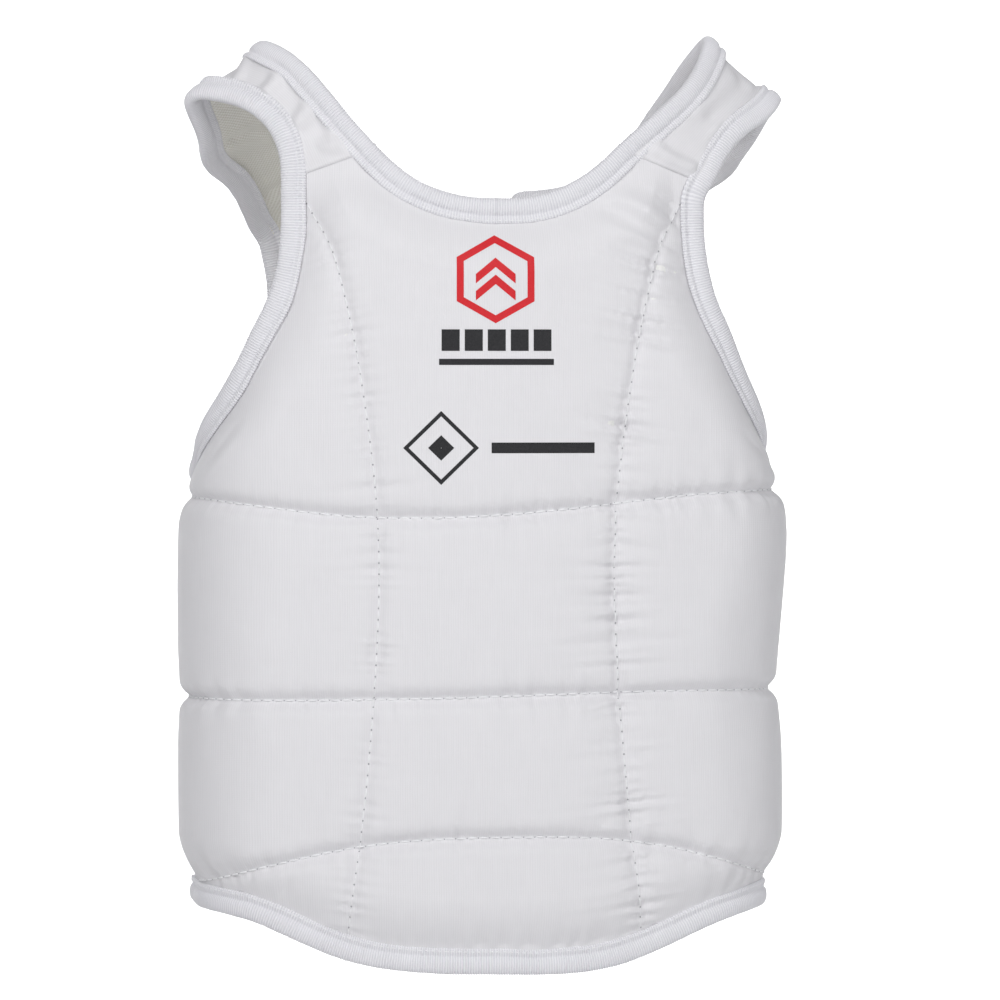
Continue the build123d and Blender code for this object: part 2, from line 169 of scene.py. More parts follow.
class Plan:
    """The upright surface that the fabric edges are sewn in, seen from above. facing is -1 at the front."""

    def __init__(self, reach, radius, flat, facing):
        self.reach, self.radius, self.facing = reach, radius, facing
        self.turn = asin(flat / radius)
        self.corner = (HALF_WIDTH - flat) / (1 - sin(self.turn))
        self.cx, self.cy = HALF_WIDTH - self.corner, reach - radius + (radius - self.corner) * cos(self.turn)
        self.shallow, self.bend = radius * self.turn, self.corner * (pi / 2 - self.turn)

    def frame(self, s):
        """Unit vectors there: along the surface to +s, and out of it."""
        a = np.abs(s)
        angle = np.where(a <= self.shallow, a / self.radius, self.turn + (a - self.shallow) / self.corner)
        angle = np.minimum(angle, pi / 2)
        sg = np.where(s < 0, -1.0, 1.0)
        nx, ny = sg * np.sin(angle), self.facing * np.cos(angle)
        zero = np.zeros_like(nx)
        along = np.stack([np.cos(angle), -self.facing * sg * np.sin(angle), zero], axis=-1)
        return along, np.stack([nx, ny, zero], axis=-1), angle, a, sg

    def point(self, s, z, off=0.0):
        s, z = np.broadcast_arrays(np.asarray(s, float), np.asarray(z, float))
        _, normal, angle, a, sg = self.frame(s)
        r, c = self.radius, self.corner
        x = np.where(a <= self.shallow, r * np.sin(angle), self.cx + c * np.sin(angle))
        y = np.where(a <= self.shallow, self.reach - r + r * np.cos(angle), self.cy + c * np.cos(angle))
        y = y - np.maximum(a - self.shallow - self.bend, 0)
        base = np.stack([sg * x, self.facing * y, z], axis=-1)
        return base + normal * np.asarray(off)[..., None]

    def s_of_x(self, x):
        a = np.abs(x)
        flat = self.radius * np.arcsin(np.clip(a / self.radius, 0, 1))
        past = np.arcsin(np.clip((a - self.cx) / self.corner, -1, 1)) - self.turn
        bent = self.shallow + self.corner * past
        return np.sign(x) * np.where(a <= self.radius * sin(self.turn), flat, bent)


FRONT = Plan(82.0, 440.0, 102.0, -1)
BACK = Plan(78.0, 450.0, 95.0, 1)
HINGE_S = 203.0


def side_run(edge):
    """A front-view edge as points (s, z), carried on round the sides to the hinge plane."""
    p = spline(edge, step=1.0)
    p = p[np.abs(p[:, 0]) < HALF_WIDTH - 0.3]
    s = FRONT.s_of_x(p[:, 0])
    inner = np.stack([s, p[:, 1]], axis=1)
    ends = []
    for k in (0, -1):
        far = np.sign(s[k]) * np.arange(abs(s[k]) + 2, HINGE_S + 6, 2.0)
        slope = (edge[0][1] - p[0][1], edge[-1][1] - p[-1][1])[k]
        reach = np.abs(far - s[k])
        ends.append(np.stack([far, p[k, 1] + slope * smooth_step(reach / 70)], axis=1))
    return np.concatenate([ends[0][::-1], inner, ends[1]])


def strap_path(sign):
    """Neck edge and arm edge of a strap, from the front shoulder seam to the back, evenly matched."""
    pairs = STRAP_FRONT[sign] + STRAP_BACK
    neck = spline([p[0] for p in pairs], count=141)
    arm = spline([p[1] for p in pairs], count=141)
    t = np.linspace(0, 1, 141)
    onto = 1 - smooth_step(t / 0.17)
    for edge in (neck, arm):
        on_panel = FRONT.point(FRONT.s_of_x(np.minimum(edge[:, 0], 125.0)), edge[:, 2], 0.0)[:, 1]
        edge[:, 1] += (on_panel - edge[:, 1]) * onto
    crest = smooth_step((t - 0.12) / 0.25) * smooth_step((0.82 - t) / 0.25)
    neck[:, 2] -= crest * (1.5 if sign > 0 else 4.5)
    arm[:, 2] -= crest * (4.5 if sign > 0 else 6.0)
    loose = smooth_step((t - 0.5) / 0.12) * smooth_step((0.97 - t) / 0.1)
    arm[:, 0] += loose * (1.6 * wander(t * 240, 26, 60 + sign) + 0.8 * wander(t * 240, 11, 62 + sign))
    arm[:, 1] += loose * 1.8 * wander(t * 240, 31, 64 + sign)
    neck[:, 1] += loose * 1.2 * wander(t * 240, 37, 66 + sign)
    mirror = np.array([sign, 1, 1])
    return neck * mirror, arm * mirror


# --- Mesh and material helpers ---
def make(name, verts, faces, material, flat=None):
    """Mesh object from millimetres. flat gives each vertex's place on the cloth, in millimetres."""
    mesh = bpy.data.meshes.new(name)
    mesh.from_pydata((np.asarray(verts) / 1000.0).tolist(), [], [tuple(int(i) for i in f) for f in faces])
    mesh.validate()
    if flat is not None:
        a = mesh.attributes.new("cloth", "FLOAT_VECTOR", "POINT")
        q = np.zeros((len(mesh.vertices), 3), np.float32)
        q[:, :2] = np.asarray(flat)[:, :2]
        a.data.foreach_set("vector", q.ravel())
    mesh.polygons.foreach_set("use_smooth", [True] * len(mesh.polygons))
    obj = bpy.data.objects.new(name, mesh)
    bpy.context.scene.collection.objects.link(obj)
    mesh.materials.append(material)
    return obj


def grid_faces(rows, cols, keep=None, flip=False, close_cols=False):
    """Quads of a rows x cols grid of vertices; keep marks the cells to make."""
    faces = []
    wide = cols if close_cols else cols - 1
    for i in range(rows - 1):
        for j in range(wide):
            if keep is not None and not keep[i, j]:
                continue
            k = (j + 1) % cols
            f = (i * cols + j, i * cols + k, (i + 1) * cols + k, (i + 1) * cols + j)
            faces.append(f[::-1] if flip else f)
    return faces


def closed_between(a, b):
    """Vertices and faces of the solid between two grids of points, closed round their rim."""
    rows, cols = a.shape[:2]
    n = rows * cols
    sheet = grid_faces(rows, cols)
    ring = [(0, j) for j in range(cols)] + [(i, cols - 1) for i in range(1, rows)]
    ring += [(rows - 1, j) for j in range(cols - 2, -1, -1)] + [(i, 0) for i in range(rows - 2, 0, -1)]
    ring = [i * cols + j for i, j in ring]
    rim = [(q, p, p + n, q + n) for p, q in zip(ring, ring[1:] + ring[:1])]
    verts = np.concatenate([a.reshape(-1, 3), b.reshape(-1, 3)])
    return verts, sheet + [tuple(k + n for k in f[::-1]) for f in sheet] + rim


def used_only(verts, faces, flat=None):
    """Drops the vertices that no face uses."""
    used = np.unique(np.concatenate([np.array(f) for f in faces]))
    index = -np.ones(len(verts), int)
    index[used] = np.arange(len(used))
    return verts[used], [tuple(index[list(f)]) for f in faces], None if flat is None else flat[used]


def thicken(obj, thickness, offset=-1):
    """Gives a sheet real thickness, in millimetres."""
    mod = obj.modifiers.new("thick", "SOLIDIFY")
    mod.thickness, mod.offset = thickness / 1000, offset
    mod.use_even_offset = False
    apply(obj)
    return obj


def apply(obj):
    """Turns the object's modifiers into its mesh."""
    deps = bpy.context.evaluated_depsgraph_get()
    mesh = bpy.data.meshes.new_from_object(obj.evaluated_get(deps))
    old = obj.data
    obj.modifiers.clear()
    obj.data = mesh
    bpy.data.meshes.remove(old)


class Nodes:
    """A short way to write a node material."""

    def __init__(self, name):
        self.mat = bpy.data.materials.new(name)
        self.mat.use_nodes = True
        self.t = self.mat.node_tree
        self.bsdf = self.t.nodes["Principled BSDF"]

    def link(self, a, b):
        self.t.links.new(a, b)

    def math(self, op, a, b=None, c=None):
        n = self.t.nodes.new("ShaderNodeMath")
        n.operation = op
        for i, v in enumerate((a, b, c)):
            if v is None:
                continue
            if isinstance(v, (int, float)):
                n.inputs[i].default_value = v
            else:
                self.link(v, n.inputs[i])
        return n.outputs[0]

    def cloth(self):
        """Sockets for the place on the cloth: across, along, and the vector."""
        a = self.t.nodes.new("ShaderNodeAttribute")
        a.attribute_name = "cloth"
        sep = self.t.nodes.new("ShaderNodeSeparateXYZ")
        self.link(a.outputs["Vector"], sep.inputs[0])
        return sep.outputs[0], sep.outputs[1], a.outputs["Vector"]

    def noise(self, vector, scale, detail=3.0, rough=0.5, stretch=(1, 1, 1)):
        m = self.t.nodes.new("ShaderNodeMapping")
        m.inputs["Scale"].default_value = stretch
        self.link(vector, m.inputs["Vector"])
        n = self.t.nodes.new("ShaderNodeTexNoise")
        n.inputs["Scale"].default_value = scale
        n.inputs["Detail"].default_value = detail
        n.inputs["Roughness"].default_value = rough
        self.link(m.outputs[0], n.inputs["Vector"])
        return n.outputs["Fac"]

    def ramp(self, value, low, high, color_a, color_b):
        n = self.t.nodes.new("ShaderNodeValToRGB")
        n.color_ramp.elements[0].position, n.color_ramp.elements[1].position = low, high
        n.color_ramp.elements[0].color, n.color_ramp.elements[1].color = (*color_a, 1), (*color_b, 1)
        self.link(value, n.inputs[0])
        return n.outputs[0]

    def bump(self, height, strength, distance):
        n = self.t.nodes.new("ShaderNodeBump")
        n.inputs["Strength"].default_value = strength
        n.inputs["Distance"].default_value = distance / 1000
        self.link(height, n.inputs["Height"])
        self.link(n.outputs[0], self.bsdf.inputs["Normal"])

    def finish(self, color=None, rough=0.7, sheen=0.0, spec=0.3):
        if color is not None:
            self.link(color, self.bsdf.inputs["Base Color"])
        self.bsdf.inputs["Roughness"].default_value = rough
        self.bsdf.inputs["Sheen Weight"].default_value = sheen
        self.bsdf.inputs["Sheen Roughness"].default_value = 0.5
        self.bsdf.inputs["Specular IOR Level"].default_value = spec
        return self.mat


def wave(m, value, pitch):
    """0 to 1 wave of that pitch, in millimetres, along a socket's value."""
    return m.math("MULTIPLY_ADD", m.math("SINE", m.math("MULTIPLY", value, 2 * pi / pitch)), 0.5, 0.5)


def woven(name, tone, tint=(0.985, 0.975, 1.0)):
    """Fine, faintly ribbed woven polyester."""
    m = Nodes(name)
    u, v, place = m.cloth()
    drift = m.noise(place, 0.05, 2.0)
    slub = m.noise(place, 1.0, 2.0, 0.6, (1.6, 0.05, 1))
    fine = m.noise(place, 2.2, 2.0)
    rib = wave(m, m.math("ADD", u, m.math("MULTIPLY", drift, 1.2)), 1.15)
    weft = wave(m, v, 0.9)
    cloth = m.math("ADD", m.math("MULTIPLY", rib, 0.55), m.math("MULTIPLY", weft, 0.25))
    height = m.math("ADD", m.math("ADD", cloth, m.math("MULTIPLY", slub, 0.9)), m.math("MULTIPLY", fine, 0.5))
    light = tuple(tone * c for c in tint)
    dark = tuple(tone * 0.93 * c for c in tint)
    mixed = m.math("ADD", m.math("MULTIPLY", slub, 0.55), m.math("MULTIPLY", rib, 0.3))
    mixed = m.math("ADD", mixed, m.math("MULTIPLY", drift, 0.25))
    color = m.ramp(mixed, 0.25, 0.85, dark, light)
    m.bump(height, 0.32, 0.16)
    return m.finish(color, 0.62, 0.25, 0.35)


def ribbed_with_painted_shade(name, tone):
    """Elastic tape whose ribs are in the mesh, with painted shade between them in the colour; the yarn is in
    the bump.
    """
    m = Nodes(name)
    u, v, place = m.cloth()
    yarn = wave(m, u, 0.55)
    fuzz = m.noise(place, 1.5, 3.0)
    # Painted shade: crest follows the mesh ribs, and the colour is darker and bluer between them.
    turn = m.math("MULTIPLY", v, 2 * pi / 1.25)
    crest = m.math("MULTIPLY_ADD", m.math("COSINE", turn), 0.5, 0.5)
    height = m.math("ADD", m.math("MULTIPLY", yarn, 0.6), m.math("MULTIPLY", fuzz, 0.6))
    mixed = m.math("ADD", m.math("MULTIPLY", crest, 0.55), m.math("MULTIPLY", fuzz, 0.45))
    color = m.ramp(mixed, 0.1, 0.75, tuple(tone * 0.8 * c for c in (0.95, 0.945, 1.0)),
                   tuple(tone * c for c in (0.97, 0.965, 1.0)))
    m.bump(height, 0.35, 0.15)
    return m.finish(color, 0.5, 0.3, 0.45)


def knitted(name, tone):
    """Heavy ribbed elastic of the back."""
    m = Nodes(name)
    u, v, place = m.cloth()
    stitch = m.math("MULTIPLY", wave(m, u, 1.0), wave(m, v, 0.8))
    fuzz = m.noise(place, 1.2, 3.0)
    height = m.math("ADD", stitch, m.math("MULTIPLY", fuzz, 0.6))
    color = m.ramp(fuzz, 0.3, 0.8, (tone * 0.9, tone * 0.9, tone * 0.92), (tone, tone, tone * 1.01))
    m.bump(height, 0.5, 0.25)
    return m.finish(color, 0.8, 0.2, 0.2)


def mesh_cloth(name):
    """Cream air-mesh lining: small staggered holes."""
    m = Nodes(name)
    u, v, place = m.cloth()
    a = m.math("SINE", m.math("MULTIPLY", u, 2 * pi / 2.2))
    b = m.math("SINE", m.math("MULTIPLY", v, 2 * pi / 2.2))
    cell = m.math("MULTIPLY_ADD", m.math("MULTIPLY", a, b), 0.5, 0.5)
    fuzz = m.noise(place, 1.0, 3.0)
    mixed = m.math("ADD", m.math("MULTIPLY", cell, 0.8), m.math("MULTIPLY", fuzz, 0.25))
    color = m.ramp(mixed, 0.2, 0.75, (0.70, 0.68, 0.61), (0.87, 0.86, 0.81))
    m.bump(cell, 0.8, 0.35)
    return m.finish(color, 0.85, 0.15, 0.2)


def plain(name, color_a, color_b, rough=0.7, scale=1.2, strength=0.3, depth=0.15, sheen=0.1):
    """Thread, foam, ink or hook tape: a fine grain of two near colours."""
    m = Nodes(name)
    coord = m.t.nodes.new("ShaderNodeTexCoord").outputs["Object"]
    grain = m.noise(coord, 1000 * scale, 3.0)
    m.bump(grain, strength, depth)
    return m.finish(m.ramp(grain, 0.3, 0.75, color_a, color_b), rough, sheen, 0.3)


COVER = woven("cover_cloth", 0.81)
STRAP_CLOTH = woven("strap_cloth", 0.81)
BINDING = ribbed_with_painted_shade("binding_tape_cloth", 0.86)
KNIT = knitted("wing_elastic", 0.82)
MESH = mesh_cloth("air_mesh")
FOAM = plain("foam", (0.80, 0.80, 0.78), (0.88, 0.88, 0.86), 0.9, 0.9)
THREAD = plain("thread", (0.80, 0.80, 0.82), (0.90, 0.90, 0.91), 0.6, 2.5)
# Grey of the needle holes: painted shade, the shadow inside each puncture.
HOLE_SHADE = plain("needle_hole_shade", (0.36, 0.36, 0.38), (0.46, 0.46, 0.48), 0.9, 2.0)
WEBBING = ribbed_with_painted_shade("closure_cloth", 0.84)
LOOP = plain("loop_pile", (0.74, 0.74, 0.75), (0.88, 0.88, 0.88), 0.95, 1.1, 1.0, 0.8, 0.4)
HOOKS = plain("hook_field", (0.66, 0.66, 0.67), (0.86, 0.86, 0.86), 0.6, 0.8, 1.0, 0.6)
RED_INK = plain("red_ink", (0.62, 0.012, 0.02), (0.70, 0.02, 0.028), 0.55, 1.5)
BLACK_INK = plain("black_ink", (0.012, 0.012, 0.014), (0.025, 0.025, 0.028), 0.55, 1.5)


# --- The front panel's outline and seams on the seam surface, as (s, z) ---
def on_s(points):
    p = np.asarray(points, float)
    return np.stack([FRONT.s_of_x(p[:, 0]), p[:, 1]], axis=1)


neck_line = spline(NECK_EDGE, step=0.8)
neck_line = neck_line[(neck_line[:, 0] > -58.2) & (neck_line[:, 0] < 60.2)]
hem_line = side_run(HEM_EDGE)
row_lines = [side_run(row) for row in QUILT_ROWS]
column = spline(QUILT_COLUMN, step=0.8)
column_s = FRONT.s_of_x(column[:, 0])
arm_line = spline(FRONT_ARMHOLE, step=0.8)


def hem_z(s):
    """Height of the hem there."""
    return np.interp(s, hem_line[:, 0], hem_line[:, 1])


def row_z(k, s):
    """Height of a cross seam there."""
    return np.interp(s, row_lines[k][:, 0], row_lines[k][:, 1])


def column_at(z):
    """How far out the upright seam is at that height."""
    return np.interp(-np.asarray(z), -column[:, 1], column_s)


def arm_s(z):
    """How far out the panel reaches at that height."""
    return np.where(np.asarray(z) < -214, HINGE_S, np.interp(-np.asarray(z), -arm_line[:, 1], arm_line[:, 0]))


def shoulder_z(s, sign):
    (nx, nz), (ax, az) = SHOULDER[sign]
    n, a = FRONT.s_of_x(np.array([nx, ax]))
    return nz + (az - nz) * (s - n) / (a - n)


def top_z(s):
    """Upper limit of the panel: the neck edge between the straps, and the shoulder seams beyond."""
    neck = np.interp(s, FRONT.s_of_x(neck_line[:, 0]), neck_line[:, 1])
    left, right = shoulder_z(s, 1), shoulder_z(s, -1)
    limit = np.where(s > FRONT.s_of_x(np.array(60.0)), left, neck)
    return np.where(s < FRONT.s_of_x(np.array(-58.0)), right, limit)


def tree(points):
    kd = KDTree(len(points))
    for i, p in enumerate(points):
        kd.insert((p[0], p[1], 0), i)
    kd.balance()
    return kd


def nearest(kd, s, z):
    """Distance to the nearest point of a line, and which point it is."""
    flat_s, flat_z = np.ravel(s), np.ravel(z)
    found = [kd.find((a, b, 0)) for a, b in zip(flat_s, flat_z)]
    d = np.array([f[2] for f in found]).reshape(np.shape(s))
    i = np.array([f[1] for f in found]).reshape(np.shape(s))
    return d, i


col_keep = column[:, 1] < -84
col_points = np.stack([column_s, column[:, 1]], axis=1)[col_keep]
col_points = col_points[col_points[:, 1] > hem_z(col_points[:, 0]) + TAPE - 2]
seams = {"row0": row_lines[0], "row1": row_lines[1], "row2": row_lines[2]}
for k in range(3):
    r = seams[f"row{k}"]
    seams[f"row{k}"] = even(r[np.abs(r[:, 0]) < 201], step=1.0)
seams["col_left"] = even(col_points, step=1.0)
seams["col_right"] = seams["col_left"] * [-1, 1]
taped = np.concatenate([
    on_s(neck_line), arm_line, arm_line * [-1, 1], even(hem_line[np.abs(hem_line[:, 0]) < 204], step=1.0),
])
shoulder_pts = np.concatenate([
    even([(FRONT.s_of_x(np.array(float(n[0]))), n[1]), (FRONT.s_of_x(np.array(float(a[0]))), a[1])], step=1.0)
    for n, a in SHOULDER.values()
])


def rise(d, reach, power=2.2):
    return 1 - (1 - np.clip(d / reach, 0, 1)) ** power


# --- The cover: a fine sheet over the foam, drawn down to the seams ---
STEP = 1.2
gs = np.arange(-201.6, 201.7, STEP)
gz = np.arange(-464.0, -40.0, STEP)
S, Z = np.meshgrid(gs, gz)

tape_d, _ = nearest(tree(taped), S, Z)
shoulder_d, _ = nearest(tree(shoulder_pts), S, Z)
seam_fields = {}
for name, pts in seams.items():
    seam_fields[name] = nearest(tree(pts), S, Z)
side_d = np.where(Z < -205, HINGE_S - np.abs(S), 99.0)
beyond = (S > FRONT.s_of_x(np.array(60.0))) | (S < FRONT.s_of_x(np.array(-58.0)))
inside = (Z < top_z(S) - 1.6 + 4.0 * beyond) & (np.abs(S) < arm_s(Z) - 1.8) & (Z > hem_z(S) + 1.8)


def pad_height():
    """How far the padding lifts the cover off the seam surface."""
    h = 0.06 + 0.94 * rise(tape_d - TAPE - 0.3, 24, 1.7)
    h *= 0.1 + 0.9 * smooth_step((shoulder_d - 1.0) / 24)
    h *= rise(side_d - 10.0, 14)
    for name, (d, _) in seam_fields.items():
        if name.startswith("row"):
            h *= 0.42 + 0.58 * rise(d - 0.3, 8.5, 2.6)
        else:
            h *= 0.72 + 0.28 * rise(d - 0.3, 6.5, 2.4)
    return h * 8.4


def puckers(name, pitch, depth, reach, seed, strength=None):
    """Short gathers that cross a seam: fabric drawn up by the stitches."""
    d, i = seam_fields[name]
    t = i * 1.0
    warp = t + 2.6 * wander(t, 17, seed) + 1.2 * wander(t, 5, seed + 1)
    fold = 0.5 - 0.5 * np.cos(2 * pi * warp / pitch)
    power = 0.55 + 0.6 * wander(t, 23, seed + 2) + 0.35 * wander(t, 7, seed + 3)
    reach = reach * (1 + 0.45 * wander(t, 6, seed + 4))
    fade = np.exp(-((np.maximum(d - 0.6, 0) / reach) ** 1.6)) * smooth_step(d / 1.4)
    amount = depth * np.clip(power, 0.05, 1.5) * fold * fade
    return amount * (strength(t, len(seams[name])) if strength else 1)


height = pad_height()
crown = np.ones_like(S)
for d, _ in seam_fields.values():
    crown *= 0.4 + 0.6 * rise(d, 30, 2)
crown *= rise(tape_d - TAPE, 26, 2) * rise(side_d - 8, 30, 2) * rise(shoulder_d, 30, 2)
height = height + 1.9 * crown
leaner = smooth_step((S - 100) / 25) * np.clip(height / 6, 0, 1)
height += leaner * (2.2 * np.exp(-(((Z + 246) / 26) ** 2)) - 2.2 * np.exp(-(((Z + 316) / 30) ** 2)))
height += 0.35 * wander2(S, Z, 38, 46, 5) * np.clip(height / 6, 0, 1)
height += 0.12 * wander2(S, Z, 11, 16, 6) * np.clip(height / 6, 0, 1)
height -= puckers("col_left", QUILT_STITCH, 2.3, 8.0, 11)
height -= puckers("col_right", QUILT_STITCH, 1.8, 7.0, 21)
height -= puckers("col_left", 7.4, 3.6, 17.0, 12,
                  lambda t, n: 0.35 + 1.3 * np.exp(-(((t / n - 0.12) / 0.13) ** 2)))
height -= puckers("col_left", 12.0, 2.2, 15.0, 13, lambda t, n: 0.8 * smooth_step((1 - t / n) * 3))
height -= puckers("col_right", 11.5, 1.6, 12.0, 22, lambda t, n: 0.5 + 0 * t)
for k in range(3):
    height -= puckers(f"row{k}", QUILT_STITCH, 1.0, 4.2, 31 + 10 * k)
    height -= puckers(f"row{k}", 12.0 + 2 * k, (1.1, 1.1, 1.5)[k], (8, 8, 10)[k], 33 + 10 * k)
hem_t = S
hem_power = np.clip(0.6 + 0.7 * wander(hem_t, 40, 71), 0.1, 1.4)
hem_fold = 0.5 - 0.5 * np.cos(2 * pi * (hem_t + 3 * wander(hem_t, 15, 72)) / 11.5)
hem_fade = np.exp(-(((tape_d - TAPE) / 9.0) ** 2)) * smooth_step((tape_d - TAPE) / 3) * (Z < -380)
height -= 1.3 * hem_power * hem_fold * hem_fade


def crease(points, width, depth):
    """A soft fold along a line of (x, z) points in the front view: a valley with a low ridge beside it."""
    line = even(spline(on_s(points), step=1.0), step=1.0)
    d, i = nearest(tree(line), S, Z)
    run = i / max(len(line) - 1, 1)
    fade = np.clip(np.sin(pi * np.clip(run, 0.02, 0.98)), 0, 1) ** 0.7
    k = np.clip(i, 1, len(line) - 2)
    tangent = line[k + 1] - line[k - 1]
    side = np.sign(tangent[..., 0] * (Z - line[k][..., 1]) - tangent[..., 1] * (S - line[k][..., 0]))
    shape = np.exp(-((d / width) ** 2)) - 0.55 * np.exp(-(((d - 1.9 * width) / width) ** 2)) * (side > 0)
    return -depth * fade * shape * smooth_step((tape_d - TAPE - 1) / 9)


height += crease([(38, -80), (60, -90), (84, -104)], 4.2, 2.4)
height += crease([(52, -104), (68, -108), (84, -116)], 3.4, 1.3)
height += crease([(57, -71), (76, -62), (97, -56)], 3.4, 1.8)
height += crease([(-112, -432), (-104, -424), (-99, -412)], 2.6, 1.2)
height += crease([(-122, -430), (-118, -420), (-116, -408)], 2.6, 1.0)
height += crease([(118, -196), (127, -206), (139, -216)], 2.6, 0.9)
height += crease([(-120, -190), (-128, -204), (-136, -219)], 2.6, 0.9)

cover_off = np.clip(height, 0, None) + 0.75
past = np.where(beyond, Z - top_z(S), -9.0)
tucked = 1.2 * smooth_step((past - 0.2) / 1.8)
cover_xyz = FRONT.point(S, Z, cover_off - tucked)


def cells_inside(mask):
    return mask[:-1, :-1] & mask[1:, :-1] & mask[:-1, 1:] & mask[1:, 1:]


def field(values, s, z):
    """Value of a grid field at (s, z), between its points."""
    j = np.clip((s - gs[0]) / STEP, 0, len(gs) - 1.001)
    i = np.clip((z - gz[0]) / STEP, 0, len(gz) - 1.001)
    i0, j0 = i.astype(int), j.astype(int)
    fi, fj = i - i0, j - j0
    return (values[i0, j0] * (1 - fi) * (1 - fj) + values[i0 + 1, j0] * fi * (1 - fj)
            + values[i0, j0 + 1] * (1 - fi) * fj + values[i0 + 1, j0 + 1] * fi * fj)


def on_cover(s, z, lift=0.0):
    """Point of the finished cover at (s, z), lifted off it."""
    return FRONT.point(s, z, field(cover_off, np.asarray(s, float), np.asarray(z, float)) + lift)


flat_map = np.stack([S, Z], axis=-1).reshape(-1, 2)
faces = grid_faces(len(gz), len(gs), cells_inside(inside), flip=False)
verts, faces, flat = used_only(cover_xyz.reshape(-1, 3), faces, flat_map)
cover = make("front_cover_cloth", verts, faces, COVER, flat=flat)
thicken(cover, 0.6)
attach(cover, "front_panel")
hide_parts("front_cover")

# --- The lining: air mesh against the chest, dimpled along the quilting ---
lining_off = -0.6 - 1.1 * np.clip(height / 9, 0, 1) - tucked * 0.3
lstep = 2
faces = grid_faces(len(gz[::lstep]), len(gs[::lstep]), cells_inside(inside[::lstep, ::lstep]), flip=True)
verts, faces, flat = used_only(
    FRONT.point(S, Z, lining_off)[::lstep, ::lstep].reshape(-1, 3), faces,
    np.stack([S, Z], axis=-1)[::lstep, ::lstep].reshape(-1, 2))
lining = make("front_lining_mesh", verts, faces, MESH, flat=flat)
thicken(lining, 0.7)
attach(lining, "front_panel")
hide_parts("front_lining")


# --- Foam pads inside ---
def foam_pad(name, left, right, top, bottom, count=26):
    """Crowned pad between two sides s = f(z), a top and a bottom z = f(s)."""
    u, v = np.meshgrid(np.linspace(0, 1, count), np.linspace(0, 1, count))
    s = 0.5 * (left(-250 + 0 * u) + right(-250 + 0 * u))
    z = -250 + 0 * u
    for _ in range(12):
        z = top(s) * (1 - v) + bottom(s) * v
        s = left(z) * (1 - u) + right(z) * u
    edge = np.minimum(np.minimum(u, 1 - u), np.minimum(v, 1 - v))
    skin = np.clip(field(cover_off, s, z) - 1.1, 0.5, None)
    face = np.where(edge > 0, skin, 0.35)
    verts, faces = closed_between(FRONT.point(s, z, face), FRONT.point(s, z, np.where(edge > 0, -0.15, 0.3)))
    pad = make(name + "_foam", verts, faces, FOAM)
    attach(pad, "front_panel")
    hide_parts(name)


GAP = 1.2
limit_rows = [
    lambda s: top_z(s) - TAPE - 2.0 - 10 * smooth_step((np.abs(s) - 48) / 14),
    lambda s: row_z(0, s), lambda s: row_z(1, s), lambda s: row_z(2, s),
    lambda s: hem_z(s) + TAPE + 1.5,
]
for r, row_name in enumerate(["chest", "rib", "waist", "belly"]):
    upper = (lambda s, r=r: limit_rows[r](s) - GAP)
    lower = (lambda s, r=r: limit_rows[r + 1](s) + GAP)
    outer = (lambda z: np.minimum(arm_s(z) - TAPE - 1.5, HINGE_S - 13.0))
    inner_line = (lambda z: np.minimum(column_at(z), arm_s(z) - TAPE - 1.5 + GAP))
    foam_pad(f"pad_{row_name}_centre", lambda z: -inner_line(z) + GAP, lambda z: inner_line(z) - GAP,
             upper, lower)
    if r == 0:
        upper = (lambda s: np.minimum(-104.0 - 0 * s, -104.0 - 1.05 * (np.abs(s) - 82)))
    far_side = (lambda z: np.maximum(outer(z), column_at(z) + 4))
    foam_pad(f"pad_{row_name}_left", lambda z: column_at(z) + GAP, far_side, upper, lower)
    foam_pad(f"pad_{row_name}_right", lambda z: -far_side(z), lambda z: -column_at(z) - GAP, upper, lower)


def bends(obj):
    """Bakes the transform of a piece that goes over the shoulder or round the side into its mesh."""
    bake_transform(obj)


def strap_frame(sign):
    """Edges of a strap with the directions along it and out of it."""
    neck, arm = strap_path(sign)
    across = arm - neck
    middle = (arm + neck) / 2
    along = unit(np.gradient(middle, axis=0))
    normal = unit(np.cross(across, along)) * sign
    for _ in range(6):
        normal[1:-1] = unit(normal[:-2] + normal[1:-1] * 2 + normal[2:])
    return neck, arm, along, normal


FOLDS = {
    -1: [((0.02, 0.10), (0.55, 0.03), 0.06, 1.5), ((0.10, 0.16), (0.95, 0.10), 0.05, 1.7),
         ((0.0, 0.27), (0.85, 0.20), 0.05, 1.5), ((0.15, 0.36), (1.0, 0.27), 0.045, 1.2),
         ((0.2, 0.62), (0.8, 0.56), 0.05, 1.0), ((0.1, 0.80), (0.9, 0.86), 0.05, 0.9)],
    1: [((0.35, 0.12), (0.42, 0.30), 0.05, 1.2), ((0.70, 0.10), (0.62, 0.33), 0.045, 1.0),
        ((0.0, 0.06), (0.9, 0.03), 0.04, 1.2), ((0.1, 0.42), (0.9, 0.38), 0.05, 1.0),
        ((0.2, 0.66), (0.8, 0.60), 0.05, 1.0), ((0.1, 0.84), (0.9, 0.80), 0.05, 0.9)],
}


